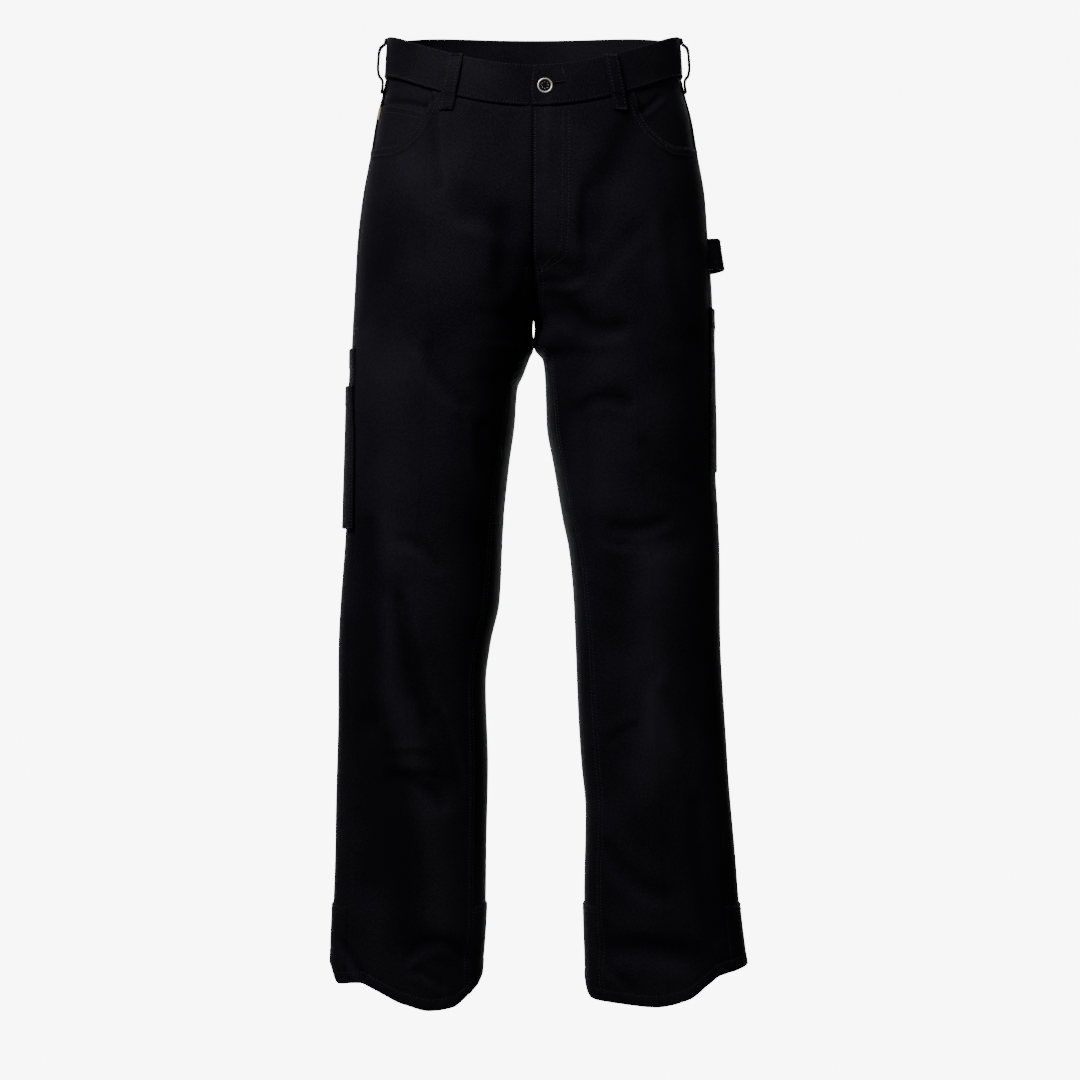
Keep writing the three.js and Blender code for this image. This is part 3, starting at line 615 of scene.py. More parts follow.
def outseam(z):
    """Where the outseam lies, as a turn."""
    return 180 - read(DEPTH, "outseam", z)


def seam_turn(side, z, tip, table, column):
    """The inner seam of a panel: the middle plane, the gusset's edge, then the inseam."""
    share = np.clip((tip - z) / (tip - CROTCH), 0, 1) ** 1.3
    rise = middle_turn(side, np.maximum(z, tip))
    under = mix(rise, read(table, column, np.full_like(z, CROTCH)), share)
    return np.where(z >= CROTCH, under, read(table, column, z))


def front_seam(side, z):
    return seam_turn(side, z, TIP_FRONT, DEPTH, "inseam")


def back_seam(side, z):
    return seam_turn(side, z, TIP_BACK, GUSSET_REAR, "turn")


def front_turn(side, z, share):
    """The turn at a share of the front, from its inner seam outwards."""
    return mix(front_seam(side, z), outseam(z), share)


def back_turn(side, z, share):
    """The turn at a share of the back, from the outseam inwards."""
    return mix(outseam(z), 360 - back_seam(side, z), share)


def wrap_turn(side, z, share):
    """The turn at a share of the strip of the back panel that wraps to the inseam."""
    return mix(360 - back_seam(side, z), 360 + front_seam(side, z), share)


def waist_turn(panel, share):
    """The turn at a share of a panel along the waist."""
    seam = outseam(np.array(0.0))
    return mix(90, seam, share) if panel == "front" else mix(seam, 270, share)


def waist_top(turn):
    """The height of the waistband's top edge."""
    ahead = np.sin(np.radians(turn)) > 0
    sideways = np.abs(np.cos(np.radians(turn))) ** np.where(ahead, DIP_FRONT, DIP_BACK)
    return mix(np.where(ahead, TOP_FRONT, TOP_BACK), TOP_SIDE, sideways)


def waist_seam(panel, share):
    """The height of the seam below the waistband."""
    return waist_top(waist_turn(panel, share)) - sizes().band_height / MM


def front_top(share):
    """The top edge of a front: the waist seam, then the scoop of the pocket."""
    run = np.clip((share - SCOOP_START) / (SCOOP_FLAT - SCOOP_START), 0, 1)
    start = waist_seam("front", SCOOP_START)
    scoop = mix(start, SCOOP_FOOT, np.sqrt(1 - (1 - run) ** 2))
    flat = mix(SCOOP_FOOT, SCOOP_END, (share - SCOOP_FLAT) / (1 - SCOOP_FLAT))
    scoop = np.where(share > SCOOP_FLAT, flat, scoop)
    return np.where(share <= SCOOP_START, waist_seam("front", share) + TUCK, scoop)


def hem_height(side, turn):
    """The height of a hem round its leg."""
    return read(HEM[side], "foot", np.mod(turn, 360), "turn")


class Grid:
    """Cloth as rows of points from top to bottom, with the way out at each point."""

    def __init__(self, points, outs):
        self.points, self.outs = points, outs
        steps = np.linalg.norm(np.diff(points, axis=1), axis=-1)
        self.across = np.pad(np.cumsum(steps, axis=1), ((0, 0), (1, 0)))
        steps = np.linalg.norm(np.diff(points, axis=0), axis=-1)
        self.down = np.pad(np.cumsum(steps, axis=0), ((1, 0), (0, 0)))

    def raised(self, height):
        return Grid(self.points + self.outs * np.asarray(height)[..., None], self.outs)

    def from_edge(self, edge):
        """The distance of each point from an edge: left, right, top or foot."""
        return {
            "left": self.across,
            "right": self.across[:, -1:] - self.across,
            "top": self.down,
            "foot": self.down[-1:] - self.down,
        }[edge]

    def row_beside(self, edge, inset, lowest=-9999, highest=9999):
        """A line of points that runs beside an edge, between two heights."""
        distance = self.from_edge(edge)
        points = self.points
        if edge in ("top", "foot"):
            distance, points = distance.T, points.swapaxes(0, 1)
        if edge in ("right", "foot"):
            distance, points = distance[:, ::-1], points[:, ::-1]
        line = np.array(
            [[np.interp(inset, d, p[:, k]) for k in range(3)] for d, p in zip(distance, points)]
        )
        return line[(line[:, 2] > lowest) & (line[:, 2] < highest)]

    def area(self):
        p = self.points
        a = np.cross(p[1:, :-1] - p[:-1, :-1], p[1:, 1:] - p[:-1, :-1])
        b = np.cross(p[1:, 1:] - p[:-1, :-1], p[:-1, 1:] - p[:-1, :-1])
        return float((np.linalg.norm(a, axis=-1) + np.linalg.norm(b, axis=-1)).sum() / 2)


def close_steps(length, step, near):
    """Places along a length: even steps, with closer ones at both ends."""
    middle = np.linspace(near[-1], length - near[-1], max(2, round(length / step)))
    return np.concatenate([near, middle[1:-1], (length - np.array(near))[::-1]])


def edge_shares(side, heights, turn_at):
    """Shares of a panel's width for its columns, closer at the seams, for each height."""
    coarse = np.linspace(0, 1, 41)
    points = bare(side, heights[:, None], turn_at(side, heights[:, None], coarse[None]))
    width = Grid(points, points).across
    wide = width[:, -1].max()
    shares = close_steps(wide, 4, EDGE_STEPS) / wide
    if turn_at is front_turn:
        mouth = mix(SCOOP_START, SCOOP_FLAT, 1 - np.cos(np.radians([0, 9, 18, 28, 38, 49, 61, 74])))
        mouth = np.interp(mouth, coarse, width[0] / width[0, -1])
        shares = np.sort(np.concatenate([shares, mouth]))
        shares = shares[np.diff(shares, append=2) * wide > 0.12]
    near = len(EDGE_STEPS)
    rows = []
    for line in width:
        local = shares * line[-1]
        local[:near] = np.minimum(EDGE_STEPS, local[:near] * 3)
        local[-near:] = line[-1] - local[:near][::-1]
        rows.append(np.interp(local, line, coarse))
    return np.array(rows)


def panel_heights(top, foot):
    """Heights from a top edge down to a hem, closer at both ends."""
    upper = np.concatenate([[0, 0.5, 1.2, 2.6, 5, 8, 9.6], np.linspace(12, 95, 15)]) / 100
    lower = close_steps(KICK_TOP - YOKE_ROW, -4, [0])
    turned = [86, 88.5, 90.5, 92.5, 95.5, 98.4, 99.4, 100]
    hem = np.concatenate([np.linspace(4, 82, 20), turned]) / 100
    return np.concatenate([mix(top, YOKE_ROW, upper), YOKE_ROW + lower, mix(KICK_TOP, foot, hem)])


def panel(side, turn_at, top_at, middle_above):
    """A front or back panel, from its middle seam or outseam to its other seam."""
    guide = panel_heights(-40, -1025)
    shares = edge_shares(side, guide, turn_at)
    foot = hem_height(side, turn_at(side, np.full(shares.shape[1], -1040.0), shares[-1]))
    heights = np.array([panel_heights(t, f) for t, f in zip(top_at(shares[0]), foot)]).T
    points, outs = cloth(side, heights, turn_at(side, heights, shares))
    edge = 0 if turn_at is front_turn else -1
    rise = heights[:, edge] > middle_above
    points[rise, edge, 0] = 0
    outs[rise, edge, 0] = 0
    outs[rise, edge] = unit(outs[rise, edge])
    return Grid(points, outs)


def wave(length, seed):
    """An uneven wave along a length, such as the pucker of a washed seam."""
    return 0.6 * np.sin(length / 2.3 + seed) + 0.4 * np.sin(length / 3.7 + 2 * seed)


def seam_height(distance, length, seed, height=0.7, width=9):
    """The lap of a felled seam: a flat ridge along an edge, rolled at its end and puckered."""
    ridge = ease((width + 1.2 - distance) / 1.6)
    roll = ease((distance + 0.35) / 1.1)
    pucker = 0.22 * wave(length, seed) * np.exp(-(((distance - 5) / 5.5) ** 2))
    return height * ridge * roll + pucker


def hollow_edge(distance, depth=1.3, width=2.6):
    """The dip of a panel where another one laps over it."""
    return -depth * ease((width - distance) / width)


def hem_shape(grid, seed):
    """The turned hem: a slightly fuller band with the slanting ripples of a roped hem."""
    distance = grid.from_edge("foot")
    band = ease((HEM_BAND + 1 - distance) / 2)
    rope = np.sin(grid.across / 3.1 + distance / 4 + seed) * np.sin(grid.across / 23 + seed)
    line = np.exp(-(((distance - HEM_BAND) / 1.6) ** 2))
    return 0.5 * band + 0.28 * rope * band - 0.45 * line


def wall_of(grid, hemmed=True, lapped=()):
    """The cloth's thickness, more where the hem or a lapping seam is turned in."""
    thick = np.full(grid.down.shape, sizes().cloth / MM)
    for edge in lapped:
        thick += LAP_MORE * ease((5 - grid.from_edge(edge)) / 2)
    if hemmed:
        thick += HEM_MORE * ease((HEM_BAND + 0.6 - grid.from_edge("foot")) / 1.2)
    return thick


def near_seams(grid, edges):
    """How near each point is to the stitched part beside some edges of its grid."""
    distance = np.min([grid.from_edge(edge) for edge in edges], axis=0)
    return np.exp(-(((distance - 3.4) / 3.2) ** 2))


def shell(name, grids, walls, material, slot="canvas", upright=("left", "right")):
    """Turns grids into one closed wall of cloth, and stands it for its solid."""
    points = np.concatenate([g.points.reshape(-1, 3) for g in grids])
    outs = np.concatenate([g.outs.reshape(-1, 3) for g in grids])
    thick = np.concatenate([np.broadcast_to(w, g.down.shape).ravel() for w, g in zip(walls, grids)])
    uvs = np.concatenate([np.stack([g.across, -g.down], -1).reshape(-1, 2) for g in grids])
    # Points that lie together become one
    keys, back = np.unique(np.round(points * 50).astype(np.int64), axis=0, return_inverse=True)
    back = back.ravel()
    count = len(keys)
    share = np.bincount(back, minlength=count)[:, None]
    level = np.concatenate([near_seams(g, ("top", "foot")).ravel() for g in grids])
    plumb = np.concatenate([near_seams(g, upright).ravel() for g in grids])
    extra = np.stack([thick, level, plumb], -1)
    sums = np.zeros((3, count, 3))
    for total, values in zip(sums, (points, outs, extra)):
        np.add.at(total, back, values)
    place, out, extra = sums[0] / share, unit(sums[1]), sums[2] / share
    wall = extra[:, :1]
    quads, start = [], 0
    for g in grids:
        rows, cols = g.down.shape
        ids = np.arange(rows * cols).reshape(rows, cols) + start
        start += rows * cols
        four = np.stack([ids[:-1, :-1], ids[1:, :-1], ids[1:, 1:], ids[:-1, 1:]], -1).reshape(-1, 4)
        a, b, c, d = (points[four[:, k]] for k in range(4))
        facing = (np.cross(c - a, d - b) * outs[four[:, 0]]).sum()
        quads.append(four if facing > 0 else four[:, ::-1])
    quads = np.concatenate(quads)
    faces = back[quads]
    whole = np.array([len(set(face)) == 4 for face in faces])
    quads, faces = quads[whole], faces[whole]
    # A side that no other face shares lies on the rim, which closes the wall
    sides = np.stack([faces, np.roll(faces, -1, 1)], -1).reshape(-1, 2)
    ends = np.stack([quads, np.roll(quads, -1, 1)], -1).reshape(-1, 2)
    codes = sides[:, 0] * count + sides[:, 1]
    open_side = ~np.isin(codes, sides[:, 1] * count + sides[:, 0])
    rim, rim_ends = sides[open_side], ends[open_side]
    rims = np.stack([rim[:, 1], rim[:, 0], rim[:, 0] + count, rim[:, 1] + count], -1)
    rim_ids = np.stack([rim_ends[:, 1], rim_ends[:, 0], rim_ends[:, 0], rim_ends[:, 1]], -1)
    every = np.concatenate([faces, faces[:, ::-1] + count, rims])
    corner_ids = np.concatenate([quads, quads[:, ::-1], rim_ids])
    mesh = bpy.data.meshes.new(name)
    vertices = np.concatenate([place, place - out * wall]) * MM
    mesh.from_pydata(vertices.tolist(), [], every.tolist())
    layer = mesh.uv_layers.new(name="cut")
    layer.data.foreach_set("uv", (uvs[corner_ids.ravel()] * MM).ravel())
    # The fold height is kept on the points for the canvas colour, where it paints shade in troughs and a
    # highlight on ridges
    tones = {"fold": fold_height(place, out), "level_seam": extra[:, 1], "upright_seam": extra[:, 2]}
    for label, values in tones.items():
        data = mesh.attributes.new(label, "FLOAT", "POINT").data
        data.foreach_set("value", np.tile(values, 2))
    surfaces[name] = BVHTree.FromPolygons(place.tolist(), faces.tolist())
    surfaces[name + "_inside"] = BVHTree.FromPolygons(
        (place - out * wall).tolist(), faces[:, ::-1].tolist()
    )
    piece = finished(name, mesh, material, slot)
    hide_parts(name)
    area = sum(g.area() for g in grids) * MM * MM


def finished(name, mesh, material, slot):
    """Links a mesh as a piece at the origin that rides on the trousers."""
    mesh.materials.clear()
    mesh.materials.append(material)
    mesh.shade_smooth()
    mesh.set_sharp_from_angle(angle=math.radians(52))
    piece = bpy.data.objects.new(name + "_cloth" if slot == "canvas" else name + "_made", mesh)
    bpy.context.collection.objects.link(piece)
    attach(piece, "root")
    return piece


def add(tree, kind, inputs=None, **settings):
    """Adds a node with its settings, and gives each named input its value or link."""
    node = tree.nodes.new(kind)
    for key, value in settings.items():
        setattr(node, key, value)
    for key, value in (inputs or {}).items():
        if isinstance(value, bpy.types.NodeSocket):
            tree.links.new(value, node.inputs[key])
        else:
            node.inputs[key].default_value = value
    return node


def new_material(name, inputs):
    """A material with a Principled shader whose even values are on its own sockets."""
    material = bpy.data.materials.new(name)
    material.use_nodes = True
    tree = material.node_tree
    shader = tree.nodes["Principled BSDF"]
    for key, value in inputs.items():
        shader.inputs[key].default_value = value
    return material, tree, shader


def grain(size):
    """The scale of a noise with a grain of this size."""
    return 1 / (size * MM)


def canvas_material():
    """Cotton canvas in a right-hand twill, piece-dyed black and washed once.

    The eye gets a dull, nearly even black with faint slanting lines and pale lint in the light,
    with painted shade in the folds and a painted highlight on their ridges, both drawn from the fold height,
    and small puckers beside the seams.
    The real lines are 0.7 mm apart; here they are 2.6 mm apart, so that they show at all.
    """
    if "cotton canvas, twill woven" in bpy.data.materials:
        return bpy.data.materials["cotton canvas, twill woven"]
    dye = [*colours().canvas, 1]
    # The paler colour stands for worn dye and also for the painted highlight on fold ridges
    worn_and_highlight = [*colours().canvas_worn_and_ridge_highlight, 1]
    even = {"Sheen Weight": 0.012, "Sheen Roughness": 0.35, "Sheen Tint": (0.75, 0.8, 1, 1)}
    even["Specular IOR Level"] = 0.01
    material, tree, shader = new_material("cotton canvas, twill woven", even)
    cut = add(tree, "ShaderNodeUVMap", uv_map="cut").outputs["UV"]
    place = add(tree, "ShaderNodeTexCoord").outputs["Object"]
    line_scale = 2 * math.pi / (10 * math.sqrt(2) * TWILL_PITCH * MM)
    lines = add(
        tree,
        "ShaderNodeTexWave",
        {"Vector": cut, "Scale": line_scale, "Distortion": 1.6, "Detail": 2},
        bands_direction="DIAGONAL",
    ).outputs["Fac"]
    slubs = add(tree, "ShaderNodeTexNoise", {"Vector": cut, "Scale": grain(SLUB), "Detail": 4})
    patches = add(tree, "ShaderNodeTexNoise", {"Vector": place, "Scale": grain(WEAR), "Detail": 5})
    lint = {0: slubs.outputs["Fac"], 1: 0.9, 2: patches.outputs["Fac"]}
    lint = add(tree, "ShaderNodeMath", lint, operation="MULTIPLY_ADD").outputs["Value"]
    wear_and_painted_light = add(
        tree,
        "ShaderNodeMapRange",
        {"Value": lint, "From Min": 0.74, "From Max": 1.3},
    ).outputs["Result"]
    # Painted shade and painted highlight: the fold height darkens the colour in troughs and pales it on
    # ridges, on top of the worn patches
    fold = add(tree, "ShaderNodeAttribute", attribute_name="fold").outputs["Fac"]
    wear_and_painted_light = {0: fold, 1: FOLD_PAINTED_LIGHT, 2: wear_and_painted_light}
    wear_and_painted_light = add(tree, "ShaderNodeMath", wear_and_painted_light, operation="MULTIPLY_ADD", use_clamp=True)
    tone = add(tree, "ShaderNodeMix", data_type="RGBA")
    tree.links.new(wear_and_painted_light.outputs["Value"], tone.inputs[0])
    tone.inputs[6].default_value = dye
    tone.inputs[7].default_value = worn_and_highlight
    tree.links.new(tone.outputs[2], shader.inputs["Base Color"])
    weave = {0: lines, 1: 0.5, 2: slubs.outputs["Fac"]}
    weave = add(tree, "ShaderNodeMath", weave, operation="MULTIPLY_ADD").outputs["Value"]
    pucker_scale = 2 * math.pi / (20 * PUCKER_PITCH * MM)
    for label, way in (("level_seam", "X"), ("upright_seam", "Y")):
        near = add(tree, "ShaderNodeAttribute", attribute_name=label).outputs["Fac"]
        bars = add(
            tree,
            "ShaderNodeTexWave",
            {"Vector": cut, "Scale": pucker_scale, "Distortion": 1.5},
            bands_direction=way,
        ).outputs["Fac"]
        drawn = add(tree, "ShaderNodeMath", {0: bars, 1: near}, operation="MULTIPLY")
        weave = {0: drawn.outputs["Value"], 1: PUCKER_DEPTH, 2: weave}
        weave = add(tree, "ShaderNodeMath", weave, operation="MULTIPLY_ADD").outputs["Value"]
    bump = add(tree, "ShaderNodeBump", {"Height": weave, "Strength": 0.8, "Distance": 0.25 * MM})
    tree.links.new(bump.outputs["Normal"], shader.inputs["Normal"])
    rough = add(
        tree,
        "ShaderNodeMapRange",
        {"Value": slubs.outputs["Fac"], "To Min": 0.74, "To Max": 0.92},
    )
    tree.links.new(rough.outputs["Result"], shader.inputs["Roughness"])
    return material


def thread_material():
    """Spun polyester sewing thread, dyed black: a little smoother and lighter than the cloth."""
    name = "spun polyester thread, dyed"
    if name in bpy.data.materials:
        return bpy.data.materials[name]
    even = {"Sheen Weight": 0.01, "Specular IOR Level": 0.05}
    material, tree, shader = new_material(name, even)
    place = add(tree, "ShaderNodeTexCoord").outputs["Object"]
    fibres = add(tree, "ShaderNodeTexNoise", {"Vector": place, "Scale": grain(FIBRE), "Detail": 3})
    tone = add(tree, "ShaderNodeMix", data_type="RGBA")
    tree.links.new(fibres.outputs["Fac"], tone.inputs[0])
    tone.inputs[6].default_value = [*colours().thread, 1]
    tone.inputs[7].default_value = [*[c * 1.4 for c in colours().thread], 1]
    tree.links.new(tone.outputs[2], shader.inputs["Base Color"])
    rough = add(
        tree,
        "ShaderNodeMapRange",
        {"Value": fibres.outputs["Fac"], "To Min": 0.45, "To Max": 0.7},
    )
    tree.links.new(rough.outputs["Result"], shader.inputs["Roughness"])
    return material


def metal_material():
    """Zinc alloy cast in a mould and plated in antique nickel: dark hollows, rubbed high rims."""
    name = "zinc alloy, antique nickel plated"
    material, tree, shader = new_material(name, {"Metallic": 1})
    place = add(tree, "ShaderNodeTexCoord").outputs["Object"]
    spots = add(tree, "ShaderNodeTexNoise", {"Vector": place, "Scale": grain(SPOT), "Detail": 5})
    height = add(tree, "ShaderNodeAttribute", attribute_name="height").outputs["Fac"]
    rubbed = add(
        tree,
        "ShaderNodeMapRange",
        {"Value": height, "From Min": 0.62, "From Max": 0.98},
    ).outputs["Result"]
    tone = add(tree, "ShaderNodeMix", data_type="RGBA")
    tree.links.new(rubbed, tone.inputs[0])
    tone.inputs[6].default_value = [*linear(HOLLOWS), 1]
    tone.inputs[7].default_value = [*colours().metal, 1]
    tree.links.new(tone.outputs[2], shader.inputs["Base Color"])
    rough = add(
        tree,
        "ShaderNodeMapRange",
        {"Value": spots.outputs["Fac"], "To Min": 0.36, "To Max": 0.56},
    )
    tree.links.new(rough.outputs["Result"], shader.inputs["Roughness"])
    bump = add(
        tree,
        "ShaderNodeBump",
        {"Height": spots.outputs["Fac"], "Strength": 0.25, "Distance": 0.1 * MM},
    )
    tree.links.new(bump.outputs["Normal"], shader.inputs["Normal"])
    return material


def tab_material():
    """A bare woven tab of brown cotton with a gold-coloured weft that shows as fine bars."""
    name = "damask tape, woven"
    even = {"Roughness": 0.6, "Sheen Weight": 0.2}
    material, tree, shader = new_material(name, even)
    cut = add(tree, "ShaderNodeUVMap", uv_map="cut").outputs["UV"]
    bar_scale = 2 * math.pi / (20 * BAR_PITCH * MM)
    bars = add(
        tree,
        "ShaderNodeTexWave",
        {"Vector": cut, "Scale": bar_scale, "Distortion": 0.6},
        bands_direction="Y",
    ).outputs["Fac"]
    tone = add(tree, "ShaderNodeMix", data_type="RGBA")
    tree.links.new(bars, tone.inputs[0])
    tone.inputs[6].default_value = [*linear(TAB_GROUND), 1]
    tone.inputs[7].default_value = [*colours().tab, 1]
    tree.links.new(tone.outputs[2], shader.inputs["Base Color"])
    bump = add(tree, "ShaderNodeBump", {"Height": bars, "Strength": 0.5, "Distance": 0.2 * MM})
    tree.links.new(bump.outputs["Normal"], shader.inputs["Normal"])
    return material


def stage_material():
    """Matt grey paint on a studio sweep, lit to white in a patch behind the trousers.

    The eye gets an even white behind the piece and a soft pale grey on the other sides.
    """
    material, tree, shader = new_material("studio paint, rolled", {"Roughness": 0.9})
    place = add(tree, "ShaderNodeTexCoord").outputs["Object"]
    mottle = add(tree, "ShaderNodeTexNoise", {"Vector": place, "Scale": grain(MOTTLE), "Detail": 2})
    tone = add(tree, "ShaderNodeMix", data_type="RGBA")
    tree.links.new(mottle.outputs["Fac"], tone.inputs[0])
    tone.inputs[6].default_value = [*linear(PAINT[0]), 1]
    tone.inputs[7].default_value = [*linear(PAINT[1]), 1]
    tree.links.new(tone.outputs[2], shader.inputs["Base Color"])
    away = add(
        tree,
        "ShaderNodeVectorMath",
        {0: place, 1: PATCH["centre"]},
        operation="DISTANCE",
    ).outputs["Value"]
    reach = {"Value": away, "From Min": PATCH["near"], "From Max": PATCH["far"]}
    reach |= {"To Min": PATCH["strength"], "To Max": PATCH["rest"]}
    lit = add(
        tree,
        "ShaderNodeMapRange",
        reach,
        interpolation_type="SMOOTHSTEP",
    ).outputs["Result"]
    tree.links.new(lit, shader.inputs["Emission Strength"])
    shader.inputs["Emission Color"].default_value = (1, 1, 1, 1)
    return material


def sizes():
    """The sizes that are set in the panel."""
    return bpy.context.scene.trouser_sizes


def colours():
    """The colours that are set in the panel."""
    return bpy.context.scene.trouser_colours


def make_front(side):
    """A front panel, whose inner seam laps over the panel beside it."""
    grid = panel(side, front_turn, front_top, TIP_FRONT)
    seed = 1.0 if side == LEFT else 2.4
    lap = seam_height(grid.across, grid.down, seed)
    if side == RIGHT:
        rise = ease((grid.points[..., 2] - TIP_FRONT + 4) / 8)
        lap = mix(lap, hollow_edge(grid.across), rise)
    aside = grid.from_edge("right")
    side_seam = 0.16 * wave(grid.down, seed + 1) - 0.5 * ease(1 - aside)
    side_seam = side_seam * np.exp(-aside / 4)
    mouth = ease((grid.across - grid.across[:, -1:] * SCOOP_START + 2) / 4)
    edge = seam_height(from_line(grid, grid.points[0]), grid.across, seed + 2, 0.8, 11)
    height = lap + side_seam + edge * mouth + hem_shape(grid, seed)
    grid = grid.raised(height + under_band(grid) * (1 - mouth))
    name = "front_" + WORDS[side]
    made[name] = grid
    wall = wall_of(grid, lapped=("left", "right"))
    shell(name, [grid], [wall], canvas_material(), upright=("left",))


def under_band(grid):
    """Sinks the top of a panel, so that it goes in under the waistband."""
    return -SINK * ease((TUCK + SINK_REACH - grid.down) / SINK_REACH)


def from_line(grid, line, rows=36):
    """The distance of the upper points of a grid from a line of points."""
    distance = np.full(grid.down.shape, 999.0)
    upper = grid.points[:rows]
    distance[:rows] = np.linalg.norm(upper[:, :, None] - line[None, None], axis=-1).min(-1)
    return distance


def make_back(side):
    """A back panel, and the strip of it that wraps to the inseam."""
    grid = panel(side, back_turn, lambda share: waist_seam("back", share) + TUCK, TIP_BACK)
    seed = 3.1 if side == LEFT else 4.7
    under = hollow_edge(grid.across)
    rise = ease((grid.points[..., 2] - TIP_BACK + 4) / 8)
    seat_lap = seam_height(grid.from_edge("right"), grid.down, seed)
    if side == RIGHT:
        seat_lap = mix(seat_lap, hollow_edge(grid.from_edge("right")), rise)
    gone = ease((GUSSET_END - 6 - grid.points[..., 2]) / 10)
    grid = grid.raised(under + seat_lap * (1 - gone) + hem_shape(grid, seed) + under_band(grid))
    heights = grid.points[:, -1, 2]
    first = int(np.argmax(heights < GUSSET_END))
    shares = np.array([0, 0.06, 0.14, 0.26, 0.4, 0.54, 0.68, 0.8, 0.88, 0.94, 0.975, 1])
    foot = hem_height(side, wrap_turn(side, np.full(len(shares), -1040.0), shares))
    rows = np.array([panel_heights(-40, f)[first:] for f in foot]).T
    turns = wrap_turn(side, rows, shares[None])
    wrap = Grid(*cloth(side, rows, turns))
    height = hollow_edge(wrap.from_edge("right")) + hem_shape(wrap, seed + 1)
    wrap = wrap.raised(height)
    wrap = Grid(np.concatenate([grid.points[first:, -1:], wrap.points[:, 1:]], 1), wrap.outs)
    name = "back_" + WORDS[side]
    made[name], made[name + "_wrap"] = grid, wrap
    walls = [wall_of(grid, lapped=("right",)), wall_of(wrap)]
    walls[1][:, 0] = walls[0][first:, -1]
    shell(name, [grid, wrap], walls, canvas_material(), upright=("right",))


def make_gusset():
    """The gusset: four grids that meet at the crotch, tucked under the panels round it."""
    grids = []
    for side in (LEFT, RIGHT):
        for tip, seam, way in ((TIP_FRONT, front_seam, 1), (TIP_BACK, back_seam, -1)):
            above = np.linspace(tip - 1, CROTCH, 12)
            below = np.linspace(CROTCH, GUSSET_END - TUCK, 52)[1:]
            z = np.concatenate([above, below])[:, None]
            share = np.array([0, 0.2, 0.4, 0.6, 0.8, 0.93, 1])[None]
            start = middle_turn(side, z)
            reach = seam(side, z) + 1.2
            points, outs = cloth(side, z, way * mix(start, reach, share))
            rise = z[:, 0] >= CROTCH
            points[rise, 0, 0] = 0
            outs[rise, 0, 0] = 0
            outs = unit(outs)
            grids.append(Grid(points, outs))
    raised = [g.raised(hollow_edge(g.from_edge("right"), 1.1, 4) - 0.25) for g in grids]
    made["crotch_gusset"] = raised[0]
    walls = [wall_of(g, False) for g in raised]
    shell("crotch_gusset", raised, walls, canvas_material())


def waist_columns():
    """Side, panel and share of each column of the waistband, from its hidden end to the button."""
    fine = np.linspace(0, 1, 46)
    hidden = [(LEFT, "front", share) for share in (0.16, 0.13, 0.1, 0.07, 0.04, 0.02)]
    right = [(RIGHT, "front", share) for share in fine]
    right += [(RIGHT, "back", share) for share in fine[1:]]
    left = [(LEFT, "back", share) for share in fine[::-1][1:]]
    left += [(LEFT, "front", share) for share in fine[::-1][1:]]
    slot = [(LEFT, "front", share) for share in np.linspace(0.15, 0.045, 26)]
    end = [(LEFT, "front", share) for share in (0.03, 0.02, 0.012, 0.006, 0)]
    return hidden + right + left[:-7] + slot + end


def make_waistband():
    """The waistband, whose left end laps over its right end."""
    tall = sizes().band_height / MM
    down = close_steps(tall, 4, [0, 0.4, 1, 2.2, 4])
    beside = SLOT["down"] + np.array([-2.6, -1.6, -0.9, -0.4, 0, 0.4, 0.9, 1.6, 2.6])
    away = np.abs(down - SLOT["down"]) > 3.4
    down = np.sort(np.concatenate([down[away], beside]))
    places = waist_columns()
    points, outs = [], []
    for side, part, share in places:
        z = waist_top(waist_turn(part, share)) - down
        turn = front_turn(side, z, share) if part == "front" else back_turn(side, z, share)
        # The free end bows a little past the middle
        if (side, part) == (LEFT, "front") and share < 0.02 and len(points) > 9:
            turn = turn - 0.9 * np.sin(np.pi * (down / tall) ** 1.3)
        at, out = cloth(side, z, turn)
        points.append(at)
        outs.append(out)
    grid = Grid(np.array(points).swapaxes(0, 1), np.array(outs).swapaxes(0, 1))
    index = np.arange(len(places))
    sunk = ease((8 - index) / 2) * 3.3
    top, foot = grid.from_edge("top"), grid.from_edge("foot")
    roll = -0.7 * ease((1.6 - top) / 1.6) ** 2 - 0.3 * ease((0.8 - foot) / 0.8)
    pucker = 0.16 * wave(grid.across, 0.7) * np.exp(-((top - 4) ** 2) / 12)
    pucker = pucker + 0.16 * wave(grid.across, 2.1) * np.exp(-((foot - 3) ** 2) / 9)
    belly = 0.5 * np.sin(np.pi * grid.down / tall)
    end_roll = -0.6 * ease((1.5 - grid.from_edge("right")) / 1.5)
    reach = (grid.points[..., 0] - SLOT["start"]) * (SLOT["end"] - grid.points[..., 0])
    trough = ease(reach / 16) * np.exp(-(((down[:, None] - SLOT["down"]) / 0.75) ** 2))
    trough = 1.5 * (trough * (index > len(places) / 2))
    grid = grid.raised(BAND_PROUD + belly + roll + pucker + end_roll - sunk - trough)
    made["waistband"] = grid
    shell("waistband", [grid], [np.full(grid.down.shape, BAND_WALL)], canvas_material())


def make_kick_panels():
    """The patches at the back of the hems, raised from the back panels."""
    for side in (LEFT, RIGHT):
        name = "kick_panel_" + WORDS[side]
        parts = []
        for part in ("", "_wrap"):
            grid = made["back_" + WORDS[side] + part]
            first = int(np.argmax(grid.points[:, 0, 2] < KICK_TOP + 0.5))
            parts.append(Grid(grid.points[first:], grid.outs[first:]))
        lifted = []
        for part in parts:
            top = part.from_edge("top")
            pucker = 0.2 * wave(part.across, 1) * np.exp(-top / 6)
            lifted.append(part.raised(1.6 - 0.8 * ease((1.2 - top) / 1.2) + pucker))
        made[name], made[name + "_wrap"] = lifted
        walls = [np.full(part.down.shape, KICK_WALL) for part in lifted]
        shell(name, lifted, walls, canvas_material())


